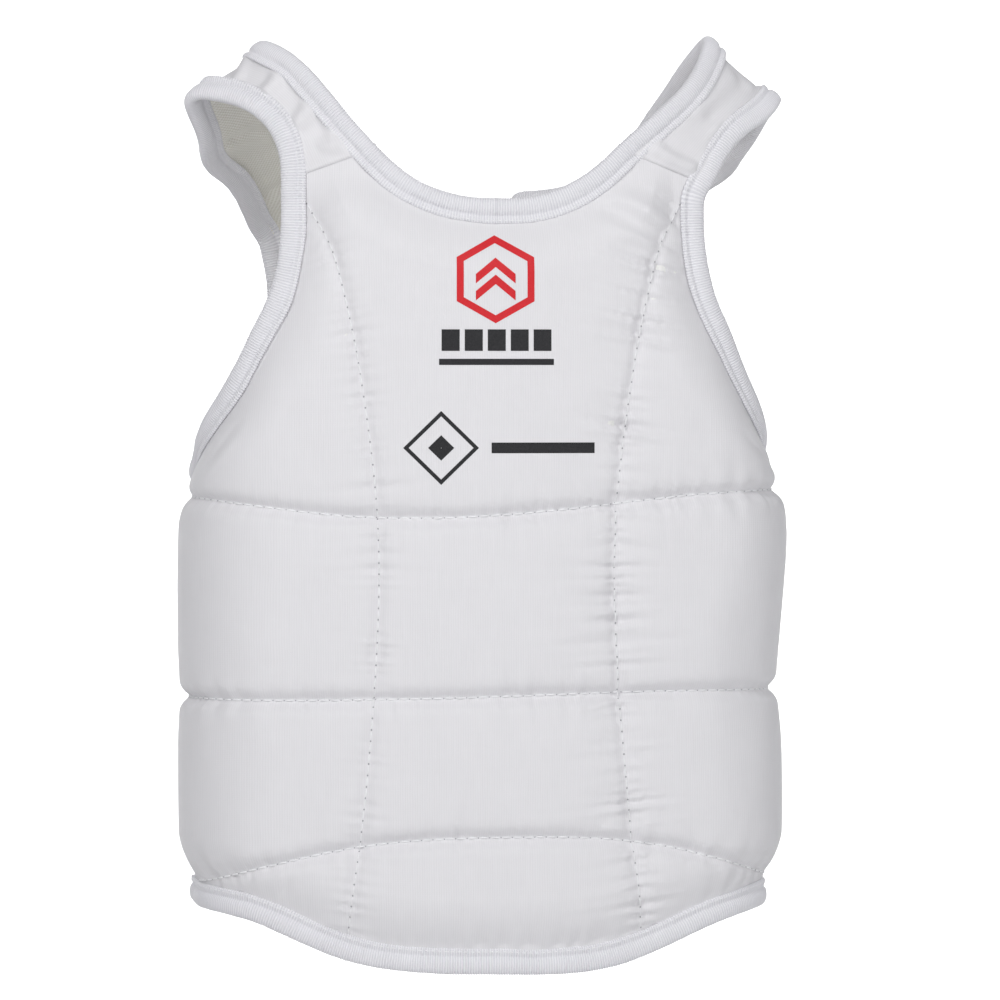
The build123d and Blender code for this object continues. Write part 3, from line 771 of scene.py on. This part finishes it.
def strap_shape(sign, u, t, width):
    """Height of the folds on a strap: u is 0 at the neck edge, t is 0 at the chest."""
    clear = np.minimum(u, 1 - u) * width - TAPE + 1.0
    crest = smooth_step((t - 0.24) / 0.12) * smooth_step((0.66 - t) / 0.12)
    sag = 3.6 if sign > 0 else 2.6
    h = smooth_step(t / 0.15) * (0.9 - sag * crest) + 0.25 * wander2(u * 40, t * 240, 9, 22, 80 + sign)
    for (u0, t0), (u1, t1), wide, depth in FOLDS[sign]:
        du, dt = u1 - u0, t1 - t0
        share = np.clip(((u - u0) * du + (t - t0) * dt * 25) / (du * du + dt * dt * 25), 0, 1)
        bow = 0.02 * np.sin(pi * share)
        d = np.hypot((u - (u0 + du * share)) * 0.16, t - (t0 + dt * share) + bow)
        fade = smooth_step(np.sin(pi * np.clip(share, 0.03, 0.97)) * 1.6)
        ridge, valleys = np.exp(-((d / (wide * 0.34)) ** 2)), np.exp(-((d / (wide * 0.8)) ** 2))
        h = h + 3.4 * depth * fade * (ridge - 0.5 * valleys)
    return h * smooth_step(clear / 3.0)


STRAP_LAYERS = [("cover", 0.5, STRAP_CLOTH, "woven_cover"), ("lining", -0.5, MESH, "mesh_lining")]
strap_frames = {sign: strap_frame(sign) for sign in SIDE_NAME}
for sign, side in SIDE_NAME.items():
    neck, arm, along, normal = strap_frames[sign]
    rows, cols = len(neck), 34
    for name, lift, mat, slot_name in STRAP_LAYERS:
        width = np.linalg.norm(arm - neck, axis=1)
        trim = 1.8 + 5.0 * smooth_step((np.linspace(0, 1, rows)[:, None] - 0.93) / 0.06)
        u = np.linspace(0, 1, cols)[None, :] * (1 - (trim + 1.8) / width[:, None]) + trim / width[:, None]
        t = np.linspace(0, 1, rows)[:, None] + 0 * u
        shape = strap_shape(sign, u, t, width[:, None])
        p = neck[:, None] + (arm - neck)[:, None] * u[..., None] + normal[:, None] * (lift + shape)[..., None]
        chord = neck[0] + (arm[0] - neck[0]) * u[0][:, None]
        laid = on_cover(FRONT.s_of_x(chord[:, 0]), chord[:, 2] - 0.9, -0.2 if lift > 0 else -1.8)
        p = p + (laid - p[0])[None] * (1 - smooth_step(t / 0.12))[..., None]
        over_wing = smooth_step((t - 0.9) / 0.06) * (1.0 if lift > 0 else -0.8)
        p = p + normal[:, None] * over_wing[..., None]
        flat = np.stack([(u - 0.5) * width[:, None], t * 245.0], axis=-1)
        faces = grid_faces(rows, cols, flip=(sign > 0) != (lift < 0))
        obj = make(f"strap_{side}_{name}", p.reshape(-1, 3), faces, mat, flat=flat.reshape(-1, 2))
        thicken(obj, 0.6)
        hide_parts(f"strap_{name}_front_{side}", f"strap_{name}_back_{side}")
        bends(obj)


# --- Binding tape: ribbed elastic folded over every edge ---
RIB = 1.25
RING_STEP = RIB / 5
# Half of the tape's section, as (into the cloth, out of it), from its inner lip to the fold.
OUTER = [(12.6, 1.0), (12.5, 1.75), (11.9, 2.2), (11.1, 2.28), (10.2, 2.2), (9.4, 1.7), (8.8, 1.55),
         (8.2, 1.9), (7.4, 2.6), (6.0, 3.0), (4.2, 3.1), (2.4, 2.9), (1.0, 2.3), (0.2, 1.4), (0.0, 0.0)]
INNER = [(9.0, -0.95), (1.6, -0.95), (1.3, 0.0), (1.6, 0.95), (9.0, 0.95)]
PROFILE = OUTER + [(d, -n) for d, n in OUTER[-2::-1]] + INNER


def panel_track(line, plan, inward):
    """Edge line (s, z) as points with the direction into the cloth and the normal out of it."""
    p = even(line, step=2.0)
    tangent = np.gradient(p, axis=0)
    side = np.stack([-tangent[:, 1], tangent[:, 0]], axis=1) * inward
    side = side / np.linalg.norm(side, axis=1, keepdims=True)
    along, normal, *_ = plan.frame(p[:, 0])
    into = along * side[:, :1] + np.array([0, 0, 1]) * side[:, 1:]
    return plan.point(p[:, 0], p[:, 1]), into, normal


def strap_track(sign, edge):
    neck, arm, _, normal = strap_frames[sign]
    line, other = (neck, arm) if edge == "neck" else (arm, neck)
    tangent = unit(np.gradient(line, axis=0))
    into = other - line
    into = unit(into - tangent * (into * tangent).sum(axis=1, keepdims=True))
    return line, into, normal


def joined(*tracks):
    """Tracks end to end, evenly spaced, with their turns eased."""
    p, into, normal = (np.concatenate([t[k] for t in tracks]) for k in range(3))
    gap = np.linalg.norm(np.diff(p, axis=0), axis=1)
    keep = np.concatenate([[True], gap > 0.4])
    p, into, normal = p[keep], into[keep], normal[keep]
    run = run_along(p)
    t = np.linspace(0, run[-1], int(run[-1] / 1.0) + 1)
    p, into, normal = (read_at(q, t, run) for q in (p, into, normal))
    for _ in range(14):
        for q in (p, into, normal):
            q[1:-1] = (q[:-2] + 2 * q[1:-1] + q[2:]) / 4
    return p, into, normal


def reversed_track(track):
    return tuple(q[::-1] for q in track)


def fine_track(track, step):
    p, into, normal = track
    run = run_along(p)
    t = np.linspace(0, run[-1], int(run[-1] / step) + 1)
    p, into, normal = (read_at(q, t, run) for q in (p, into, normal))
    tangent = unit(np.gradient(p, axis=0))
    into = unit(into - tangent * (into * tangent).sum(axis=1, keepdims=True))
    normal = normal - tangent * (normal * tangent).sum(axis=1, keepdims=True)
    normal = unit(normal - into * (normal * into).sum(axis=1, keepdims=True))
    return t, p, into, normal


def tape_point(track, t_at, d, n):
    """Places on a track: at lengths along it, d into the cloth and n out of it."""
    t, p, into, normal = track
    d, n = np.asarray(d).reshape(-1, 1), np.asarray(n).reshape(-1, 1)
    return read_at(p, t_at, t) + read_at(into, t_at, t) * d + read_at(normal, t_at, t) * n


stitch_verts, stitch_faces = {}, {}
CAPSULE = [(-1.0, 0.0), (-0.86, 0.62), (-0.45, 1.0), (0.45, 1.0), (0.86, 0.62), (1.0, 0.0)]


def stitches(key, points, ups, pitch, length, radius, lift=0.0, start=0.0):
    """Thread stitches along a line: each dips into the cloth at both ends."""
    p = np.asarray(points)
    run = run_along(p)
    middles = np.arange(start + pitch / 2, run[-1] - pitch / 2, pitch)
    if len(middles) == 0:
        return
    a, b = read_at(p, middles - length / 2, run), read_at(p, middles + length / 2, run)
    up = unit(read_at(np.asarray(ups), middles, run))
    r = np.random.RandomState(len(middles) + 7)
    middle, half = (a + b) / 2, (b - a) / 2
    side = unit(np.cross(half, up))
    middle = middle + side * r.uniform(-0.08, 0.08, (len(middles), 1)) * radius * 2
    verts, faces = stitch_verts.setdefault(key, []), stitch_faces.setdefault(key, [])
    sides = 6
    for k in range(len(middles)):
        base = sum(len(v) for v in verts)
        rings = []
        for x, wide in CAPSULE:
            arch = lift + radius * 1.1 * (1 - x * x) - radius * 0.9
            centre = middle[k] + half[k] * x + up[k] * arch
            for m in range(sides):
                angle = 2 * pi * m / sides
                rings.append(centre + (side[k] * cos(angle) + up[k] * sin(angle)) * radius * max(wide, 0.12))
        verts.append(np.array(rings))
        for i in range(len(CAPSULE) - 1):
            for m in range(sides):
                q = (m + 1) % sides
                faces.append((base + i * sides + m, base + i * sides + q, base + (i + 1) * sides + q,
                              base + (i + 1) * sides + m))
        last = base + (len(CAPSULE) - 1) * sides
        faces.append(tuple(base + m for m in range(sides))[::-1])
        faces.append(tuple(last + m for m in range(sides)))


def tape(name, track, nodes, sign, seed, meets=False):
    """One length of binding tape, with a rib every RIB millimetres and a stitch line along its lip."""
    fine = fine_track(track, RING_STEP)
    t, p, into, normal = fine
    profile = np.array(PROFILE)
    outer_count = 2 * len(OUTER) - 1
    centre = np.array([6.0, 0.0])
    outward = np.zeros_like(profile)
    for i in range(outer_count):
        a, b = profile[max(i - 1, 0)], profile[min(i + 1, outer_count - 1)]
        tangent = (b - a) / np.linalg.norm(b - a)
        outward[i] = [tangent[1], -tangent[0]]
        if np.dot(outward[i], profile[i] - centre) < 0:
            outward[i] *= -1
    calm = smooth_step(t / 8.0)
    phase = t + 0.35 * calm * wander(t, 12, seed)
    rib = np.cos(2 * pi * phase / RIB)
    rib = np.sign(rib) * np.abs(rib) ** 0.8
    depth = 0.19 * (1 + 0.35 * calm * wander(t, 9, seed + 1))
    stitch_dip = np.zeros(len(profile))
    stitch_dip[[3, outer_count - 4]] = 0.2
    swell = calm * (0.12 * wander(t, 14, seed + 2) + 0.06 * wander(t, 4, seed + 3))
    lip = 0.35 * calm * wander(t, 16, seed + 4)
    offsets = profile[None] + outward[None] * (depth * rib + swell)[:, None, None]
    pull = 0.6 + 0.4 * np.cos(2 * pi * t / STITCH)
    offsets = offsets - outward[None] * stitch_dip[None, :, None] * pull[:, None, None]
    offsets[:, :, 0] += lip[:, None] * (profile[None, :, 0] > 8) * 1.0
    verts = p[:, None] + into[:, None] * offsets[..., :1] + normal[:, None] * offsets[..., 1:]
    rows, cols = verts.shape[:2]
    faces = grid_faces(rows, cols, close_cols=True)
    if not meets:
        faces.append(tuple(range(cols))[::-1])
    faces.append(tuple((rows - 1) * cols + k for k in range(cols)))
    girth = run_along(profile)
    flat = np.stack(np.broadcast_arrays(girth[None], phase[:, None]), axis=-1)
    obj = make(name, verts.reshape(-1, 3), faces, BINDING, flat=flat.reshape(-1, 2))
    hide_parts(*nodes)
    if sign:
        bends(obj)
    else:
        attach(obj, "front_panel")
    key = name + "_stitches"
    for side in (1, -1):
        line = tape_point(fine, t, np.full(len(t), 11.1) + lip, np.full(len(t), side * 2.12) + side * swell)
        skip = max(1, int(0.8 / RING_STEP))
        stitches(key, line[::skip], (normal * side)[::skip], STITCH, 2.3, 0.26, 0.05)
    return obj


MEET = 0.3  # how far the two halves of the neck tape run past the middle
for sign, side in SIDE_NAME.items():
    half = neck_line[(neck_line[:, 0] * sign >= 0)]
    if abs(half[0][0]) > abs(half[-1][0]):
        half = half[::-1]
    start = -MEET * sign
    half = np.concatenate([[[start, np.interp(start, neck_line[:, 0], neck_line[:, 1])]], half])
    neck_part = panel_track(on_s(half), FRONT, -sign)
    centre_edge = np.array([(sign * WING_CENTRE, z) for z in np.arange(-92, WING_BOTTOM + 13, -2.0)])
    bottom_edge = np.array([(sign * s, WING_BOTTOM) for s in np.arange(WING_CENTRE + 14, 173.0, 2.0)])
    down = panel_track(centre_edge, BACK, sign)
    along_bottom = panel_track(bottom_edge, BACK, sign)
    neck_strap = strap_track(sign, "neck")
    neck_strap = tuple(q[:-4] for q in neck_strap)
    track = joined(neck_part, neck_strap, down, along_bottom)
    nodes = ["neck_binding_front", f"back_binding_{side}"]
    tape(f"neck_binding_{side}", track, nodes, sign, 100 + sign, True)
    arm_part = arm_line[(arm_line[:, 1] < -82) & (arm_line[:, 0] < 202.6)]
    arm_front = panel_track(arm_part * [sign, 1], FRONT, -sign)
    back_line = spline(BACK_ARMHOLE, step=1.0)
    back_line = back_line[(back_line[:, 1] < -122) & (back_line[:, 0] < 173.0)]
    arm_back = panel_track(back_line * [sign, 1], BACK, -sign)
    arm_strap = strap_track(sign, "arm")
    track = joined(reversed_track(arm_front), tuple(q[3:-4] for q in arm_strap), arm_back)
    nodes = [f"arm_binding_front_{side}", f"arm_binding_back_{side}"]
    tape(f"arm_binding_{side}", track, nodes, sign, 110 + sign)
hem_track = joined(panel_track(hem_line[np.abs(hem_line[:, 0]) < HINGE_S], FRONT, 1))
tape("hem_binding_tape", hem_track, ["hem_binding"], 0, 120)

# --- Quilting stitches ---
for k in range(3):
    line = seams[f"row{k}"]
    line = line[(np.abs(line[:, 0]) < arm_s(line[:, 1]) - TAPE) & (np.abs(line[:, 0]) < 199)]
    pts = on_cover(line[:, 0], line[:, 1], 0.1)
    ups = FRONT.frame(line[:, 0])[1]
    stitches("row_stitches", pts, ups, QUILT_STITCH, 4.3, 0.44, 0.2)
# Needle holes: a small dark double cone at each stitch end on every seam, painted shade in place of the
# shadow in the puncture.
hole_shade_verts, hole_shade_faces = [], []
for name, line in seams.items():
    line = line[(np.abs(line[:, 0]) < arm_s(line[:, 1]) - TAPE) & (np.abs(line[:, 0]) < 199)]
    upright = name.startswith("col")
    pts = on_cover(line[:, 0], line[:, 1], 0.02)
    ups = FRONT.frame(line[:, 0])[1]
    if upright:
        stitches("column_stitches", pts, ups, QUILT_STITCH, 4.2, 0.32, -0.02)
    inner = FRONT.point(line[:, 0], line[:, 1], -1.3)
    stitches("lining_stitches", inner, -ups, QUILT_STITCH, 4.3, 0.42, 0.2)
    run = run_along(pts)
    for t in np.arange(0, run[-1], QUILT_STITCH):
        c = np.array([np.interp(t, run, pts[:, k]) for k in range(3)])
        up = unit(np.array([np.interp(t, run, ups[:, k]) for k in range(3)]))
        side = unit(np.cross(up, [0, 0, 1]))
        base = len(hole_shade_verts)
        wide = 0.4 if upright else 0.3
        for m in range(8):
            a = 2 * pi * m / 8
            hole_shade_verts.append(c + (side * cos(a) + np.cross(up, side) * sin(a) * 1.15) * wide + up * 0.12)
        hole_shade_verts.append(c + up * -0.5)
        hole_shade_verts.append(c + up * 0.16)
        for m in range(8):
            q = (m + 1) % 8
            hole_shade_faces.append((base + m, base + q, base + 9))
            hole_shade_faces.append((base + q, base + m, base + 8))
hole_shades = make("needle_hole_shades", hole_shade_verts, hole_shade_faces, HOLE_SHADE)
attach(hole_shades, "front_panel")


# --- Elastic back halves ---
def back_arm_s(z):
    """How far out an elastic half reaches at that height."""
    line = spline(BACK_ARMHOLE, step=1.0)
    return np.where(z < -214, 175.0, np.interp(-z, -line[:, 1], line[:, 0]))


ws = np.arange(WING_CENTRE + 1.8, 173.6, 0.62)
wz = np.arange(WING_BOTTOM + 1.8, -70, 2.2)
WS, WZ = np.meshgrid(ws, wz)
line_top = -75.5 + (-107 + 75.5) * (WS - WING_CENTRE) / (99.5 - WING_CENTRE)
ok = (WZ < line_top + 3.6) & (WS < back_arm_s(WZ) - 1.6) & (WS - WING_CENTRE + line_top - WZ > 10)
for sign, side in SIDE_NAME.items():
    ripple = 0.24 * np.sin(2 * pi * WS / 2.5)
    clear = smooth_step((WS - 36) / 12) * smooth_step((-92 - WZ) / 25)
    sag = 0.55 * wander2(WS, WZ, 60, 16, 130 + sign) * clear
    for_side = BACK.point(sign * WS, WZ, ripple + sag)
    faces = grid_faces(len(wz), len(ws), cells_inside(ok), flip=sign > 0)
    verts, faces, flat = used_only(for_side.reshape(-1, 3), faces, np.stack([WS, WZ], axis=-1).reshape(-1, 2))
    wing = make(f"wing_{side}_elastic", verts, faces, KNIT, flat=flat)
    thicken(wing, 1.3, 0)
    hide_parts(f"wing_{side}")
    bends(wing)

# --- Closures: webbing folded under and box-stitched at one end, hooks at the other ---
CLEAR, SEWN, TIP, WIDE = 38.5, 26.0, 73.0, 42.0
ON_WING, PATCH = 0.9, 1.3
LOOP_TOP = ON_WING + PATCH
FACE = LOOP_TOP + 0.3 + PATCH + 0.1


def rounded_sheet(s_low, s_high, width, level, low, high, radius, name, material, step=1.0, ripple=None):
    """Patch on the back with rounded corners, between two heights off the seam surface."""
    s = np.arange(s_low, s_high + 0.01, step)
    v = np.linspace(-1, 1, 29)
    outer = np.minimum(s - s_low, s_high - s)
    cut = np.where(outer < radius, radius - np.sqrt(np.clip(radius**2 - (radius - outer) ** 2, 0, None)), 0)
    half = width / 2 - cut
    gs_, zs = s[:, None] + 0 * v, level + half[:, None] * v
    edge = np.minimum(1 - np.abs(v)[None] ** 6, 1 - np.exp(-outer / 0.6)[:, None] * 0.6)
    top = low + (high - low) * (0.35 + 0.65 * edge)
    if ripple is not None:
        top = top + ripple(gs_, zs) * edge
    verts, faces = closed_between(BACK.point(gs_, zs, top), BACK.point(gs_, zs, np.full_like(gs_, low)))
    flat = np.stack([gs_, zs], axis=-1).reshape(-1, 2)
    return make(name, verts, faces, material, flat=np.concatenate([flat, flat]))


def back_stitches(key, corners, level, lift, length, radius, sink):
    """Stitches on the back along straight lines between (s, z) corners, z from the closure's level."""
    for a, b in zip(corners, corners[1:]):
        q = even([a, b], step=1.0)
        line = BACK.point(q[:, 0], level + q[:, 1], np.full(len(q), lift))
        stitches(key, line, BACK.frame(q[:, 0])[1], STITCH, length, radius, sink)


for which, level in (("upper", -150.0), ("lower", -285.0)):
    under = np.arange(41.5, 62.6, 1.0)
    turn = [(62.9 + 1.05 * sin(a), 2.75 - 1.0 * cos(a)) for a in np.linspace(0.3, pi - 0.3, 6)]
    top = np.arange(62.6, -TIP - 0.01, -1.0)
    off_top = np.where(top > 44, 3.75, 3.75 + (FACE + 0.8 - 3.75) * smooth_step((44 - top) / 6))
    mid_s = np.concatenate([under, [q[0] for q in turn], top])
    mid_o = np.concatenate([np.full(len(under), 1.75), [q[1] for q in turn], off_top])
    d = np.stack([np.gradient(mid_s), np.gradient(mid_o)], axis=1)
    d = d / np.linalg.norm(d, axis=1, keepdims=True)
    v = np.linspace(-1, 1, 41)
    tip = mid_s + TIP
    cut = np.where(tip < 9, 9 - np.sqrt(np.clip(81 - (9 - tip) ** 2, 0, None)), 0)
    half_w = WIDE / 2 - cut
    sides = []
    for side in (1, -1):
        thick = 0.75 * (1 - 0.75 * np.abs(v)[None] ** 16) * np.ones((len(mid_s), 1))
        weave = 0.07 * np.sin(2 * pi * (v[None] * half_w[:, None]) / 1.9)
        wav = 0.12 * wander2(mid_s[:, None] + 0 * v, v[None] * 21 + 0 * mid_s[:, None], 18, 12, 140)
        o = mid_o[:, None] + side * (thick + weave) * d[:, :1] * -1 + wav
        s = mid_s[:, None] + side * (thick + weave) * d[:, 1:]
        sides.append(BACK.point(s, level + v[None] * half_w[:, None] + 0 * s, o))
    verts, faces = closed_between(*sides)
    run = np.concatenate([[0], np.cumsum(np.hypot(np.diff(mid_s), np.diff(mid_o)))])
    flat = np.stack([v[None] * half_w[:, None], run[:, None] + 0 * v[None]], axis=-1).reshape(-1, 2)
    strap = make(f"closure_{which}_webbing", verts, faces, WEBBING, flat=np.concatenate([flat, flat]))
    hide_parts(f"closure_strap_{which}", f"closure_sewn_end_{which}")
    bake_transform(strap)
    hook_top = LOOP_TOP + 0.3
    nap = (lambda s, z: 0.22 * wander2(s, z, 1.6, 1.6, 150))
    hooks = rounded_sheet(-TIP + 2.5, -CLEAR, 38.0, level, hook_top, FACE - 0.05, 5.0,
                          f"closure_{which}_hooks", HOOKS)
    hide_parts(f"hook_patch_{which}")
    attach(hooks, f"closure_{which}")
    loops = rounded_sheet(-CLEAR - 44.0, -CLEAR, 38.0, level, ON_WING - 0.1, LOOP_TOP, 5.0,
                          f"closure_{which}_loops", LOOP, ripple=nap)
    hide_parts(f"loop_patch_{which}")
    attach(loops, "back_right")
    box = [(42.5, -18), (60.5, -18), (60.5, 18), (42.5, 18), (42.5, -18), (60.5, 18)]
    back_stitches(f"closure_{which}_box_stitches", box, level, 4.6, 2.4, 0.3, 0.1)
    back_stitches(f"closure_{which}_box_stitches", [(60.5, -18), (42.5, 18)], level, 4.6, 2.4, 0.3, 0.1)
    low, high = -CLEAR - 42.0, -CLEAR - 2.0
    rim = [(low, -17), (high, -17), (high, 17), (low, 17), (low, -17)]
    back_stitches(f"loop_{which}_rim_stitches", rim, level, 2.25, 2.2, 0.26, 0.05)
    low = -TIP + 5.0
    rim = [(low, -16.5), (high, -16.5), (high, 16.5), (low, 16.5), (low, -16.5)]
    back_stitches(f"hook_{which}_rim_stitches", rim, level, FACE + 1.6, 2.2, 0.26, 0.05)

for sign, side in SIDE_NAME.items():
    neck, arm, _, normal = strap_frames[sign]
    share = np.linspace(0.16, 0.84, 60)[:, None]
    end = neck[-1] + (arm[-1] - neck[-1]) * share
    for offset in (3.0, 6.5):
        back_in = unit(neck[-8] + (arm[-8] - neck[-8]) * share - end) * offset
        line = end + back_in + normal[-1] * 1.35
        stitches(f"yoke_{side}_stitches", line, normal[-1] + 0 * end, 3.4, 2.5, 0.28, 0.1)

RIDES = {"lining_stitches": "front_panel", "row_stitches": "front_panel", "column_stitches": "front_panel",
         "hem_binding_tape_stitches": "front_panel"}
for key, parts in stitch_verts.items():
    obj = make(key, np.concatenate(parts), stitch_faces[key], THREAD)
    if key in RIDES:
        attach(obj, RIDES[key])
    elif key.startswith("closure"):
        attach(obj, "back_left")
    elif key.startswith("loop"):
        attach(obj, "back_right")
    elif key.startswith("hook"):
        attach(obj, "closure_" + key.split("_")[1])
    else:
        bends(obj)


# --- Printed marks: plain shapes of no maker ---
def printed(name, shapes, ink):
    """Ink lying on the cover. Each shape is a loop of (x, z) points and a smaller loop inside it."""
    verts, faces = [], []
    for outer_loop, inner_loop, rows in shapes:
        corners = np.array(outer_loop + outer_loop[:1], float)
        run = run_along(corners)
        count = max(24, int(run[-1] / 0.7))
        t = np.linspace(0, run[-1], count, endpoint=False)
        for c in run[1:-1]:
            t[np.argmin(np.abs(t - c))] = c
        turn = np.interp(t, run, np.arange(len(run)))
        a, b = (np.stack([np.interp(turn, np.arange(len(run)), q[:, k]) for k in range(2)], axis=1)
                for q in (corners, np.array(inner_loop + inner_loop[:1], float)))
        base = sum(len(v) for v in verts)
        grid = np.stack([a + (b - a) * k / rows for k in range(rows + 1)])
        q = on_s(grid.reshape(-1, 2))
        verts.append(on_cover(q[:, 0], q[:, 1], 0.09))
        faces += [tuple(base + k for k in f) for f in grid_faces(rows + 1, count, close_cols=True)]
    obj = make(name, np.concatenate(verts), faces, ink)
    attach(obj, "front_panel")
    return obj


def polygon(x, z, radius, sides):
    turns = [2 * pi * k / sides for k in range(sides)]
    return [(x + radius * sin(a), z + radius * cos(a)) for a in turns]


def bar(x, z, width, high):
    w, h = width / 2, high / 2
    loop = [(x - w, z - h), (x + w, z - h), (x + w, z + h), (x - w, z + h)]
    core = [(x - w + h, z), (x + w - h, z), (x + w - h, z), (x - w + h, z)]
    if w <= h:
        core = [(x, z)] * 4
    return loop, core, 4


def chevron(x, z, width, high, thick):
    w = width / 2
    above = [(x - w, z - high / 2), (x, z + high / 2), (x + w, z - high / 2)]
    below = [(a, b - thick) for a, b in above[::-1]]
    mid = [(a, b - thick / 2) for a, b in above] + [(a, b + thick / 2) for a, b in below]
    return above + below, mid, 3


def main_marks():
    x, z = -1.5, -122.3
    ring = (polygon(x, z, 21.5, 6), polygon(x, z, 17.6, 6), 4)
    chevrons = [chevron(x, z + up, 19, 8, 4.6) for up in (6.5, -1.8)]
    printed("print_red_mark", [ring] + chevrons, RED_INK)
    words = [bar(x + 0.5 - 22 + 11 * k, -152.0, 8.6, 10.5) for k in range(5)]
    printed("print_black_bars", words + [bar(x + 0.5, -162.6, 55, 3.0)], BLACK_INK)
    x, z = -27.5, -204.5
    ring = (polygon(x, z, 18.0, 4), polygon(x, z, 15.4, 4), 3)
    dot = (polygon(x, z, 6.2, 4), polygon(x, z, 0.2, 4), 4)
    printed("print_black_mark", [ring, dot], BLACK_INK)
    printed("print_black_line", [bar(21.5, -204.5, 50, 5.2)], BLACK_INK)


main_marks()

# --- Stage, light and camera ---
def stage_material():
    m = Nodes("paper")
    coord = m.t.nodes.new("ShaderNodeTexCoord").outputs["Object"]
    grain = m.noise(coord, 40.0, 2.0)
    return m.finish(m.ramp(grain, 0.3, 0.7, (0.93, 0.93, 0.93), (0.95, 0.95, 0.95)), 0.9, 0.0, 0.1)


def sweep():
    """Paper floor that curves up behind the object."""
    profile = [(-5.0, -0.75), (3.3, -0.75)]
    profile += [(3.3 + 1.0 * sin(a), 0.25 - 1.0 * cos(a)) for a in np.linspace(0.1, pi / 2, 14)]
    profile += [(4.3, 3.5)]
    verts = [(x * 1000, y * 1000, z * 1000) for y, z in profile for x in (-5.0, 5.0)]
    obj = make("paper_sweep", verts, grid_faces(len(profile), 2), stage_material())


sweep()
world = bpy.data.worlds.new("studio")
bpy.context.scene.world = world
world.use_nodes = True
world.node_tree.nodes["Background"].inputs["Color"].default_value = (0.965, 0.97, 1.0, 1)
world.node_tree.nodes["Background"].inputs["Strength"].default_value = 0.33
bpy.context.scene.view_settings.view_transform = "Standard"


def area_light(name, place, target, size, power):
    data = bpy.data.lights.new(name, "AREA")
    data.shape, data.size, data.size_y, data.energy = "RECTANGLE", size[0], size[1], power
    obj = bpy.data.objects.new(name, data)
    bpy.context.scene.collection.objects.link(obj)
    obj.visible_camera = False
    obj.location = place
    obj.rotation_euler = (Vector(target) - Vector(place)).to_track_quat("-Z", "Y").to_euler()


middle = (0.0, 0.0, -0.23)
area_light("key", (-1.0, -1.7, 1.0), middle, (0.45, 0.45), 16)
area_light("front", (0.25, -1.9, 0.55), middle, (0.8, 0.8), 9)
area_light("right", (1.3, -1.9, 0.3), middle, (0.7, 0.9), 5)
area_light("backdrop_left", (-1.8, 2.2, 0.6), (0.0, 4.3, -0.1), (1.0, 1.6), 60)
area_light("backdrop_right", (1.8, 2.2, 0.6), (0.0, 4.3, -0.1), (1.0, 1.6), 60)

cam = bpy.data.cameras.new("camera")
cam_obj = bpy.data.objects.new("camera", cam)
bpy.context.scene.collection.objects.link(cam_obj)
bpy.context.scene.camera = cam_obj
AZIMUTH, ELEVATION, DISTANCE = radians(-7.0), radians(1.0), 3.4
aim = Vector((0.0118, -0.0014, -0.2315))
sight = Vector((sin(AZIMUTH) * cos(ELEVATION), -cos(AZIMUTH) * cos(ELEVATION), sin(ELEVATION)))
cam_obj.location = aim + sight * DISTANCE
cam_obj.rotation_euler = (aim - cam_obj.location).to_track_quat("-Z", "Y").to_euler()
cam.sensor_width = 36.0
cam.lens = 36.0 * (DISTANCE - 0.03) / 0.4965
cam.clip_end = 50
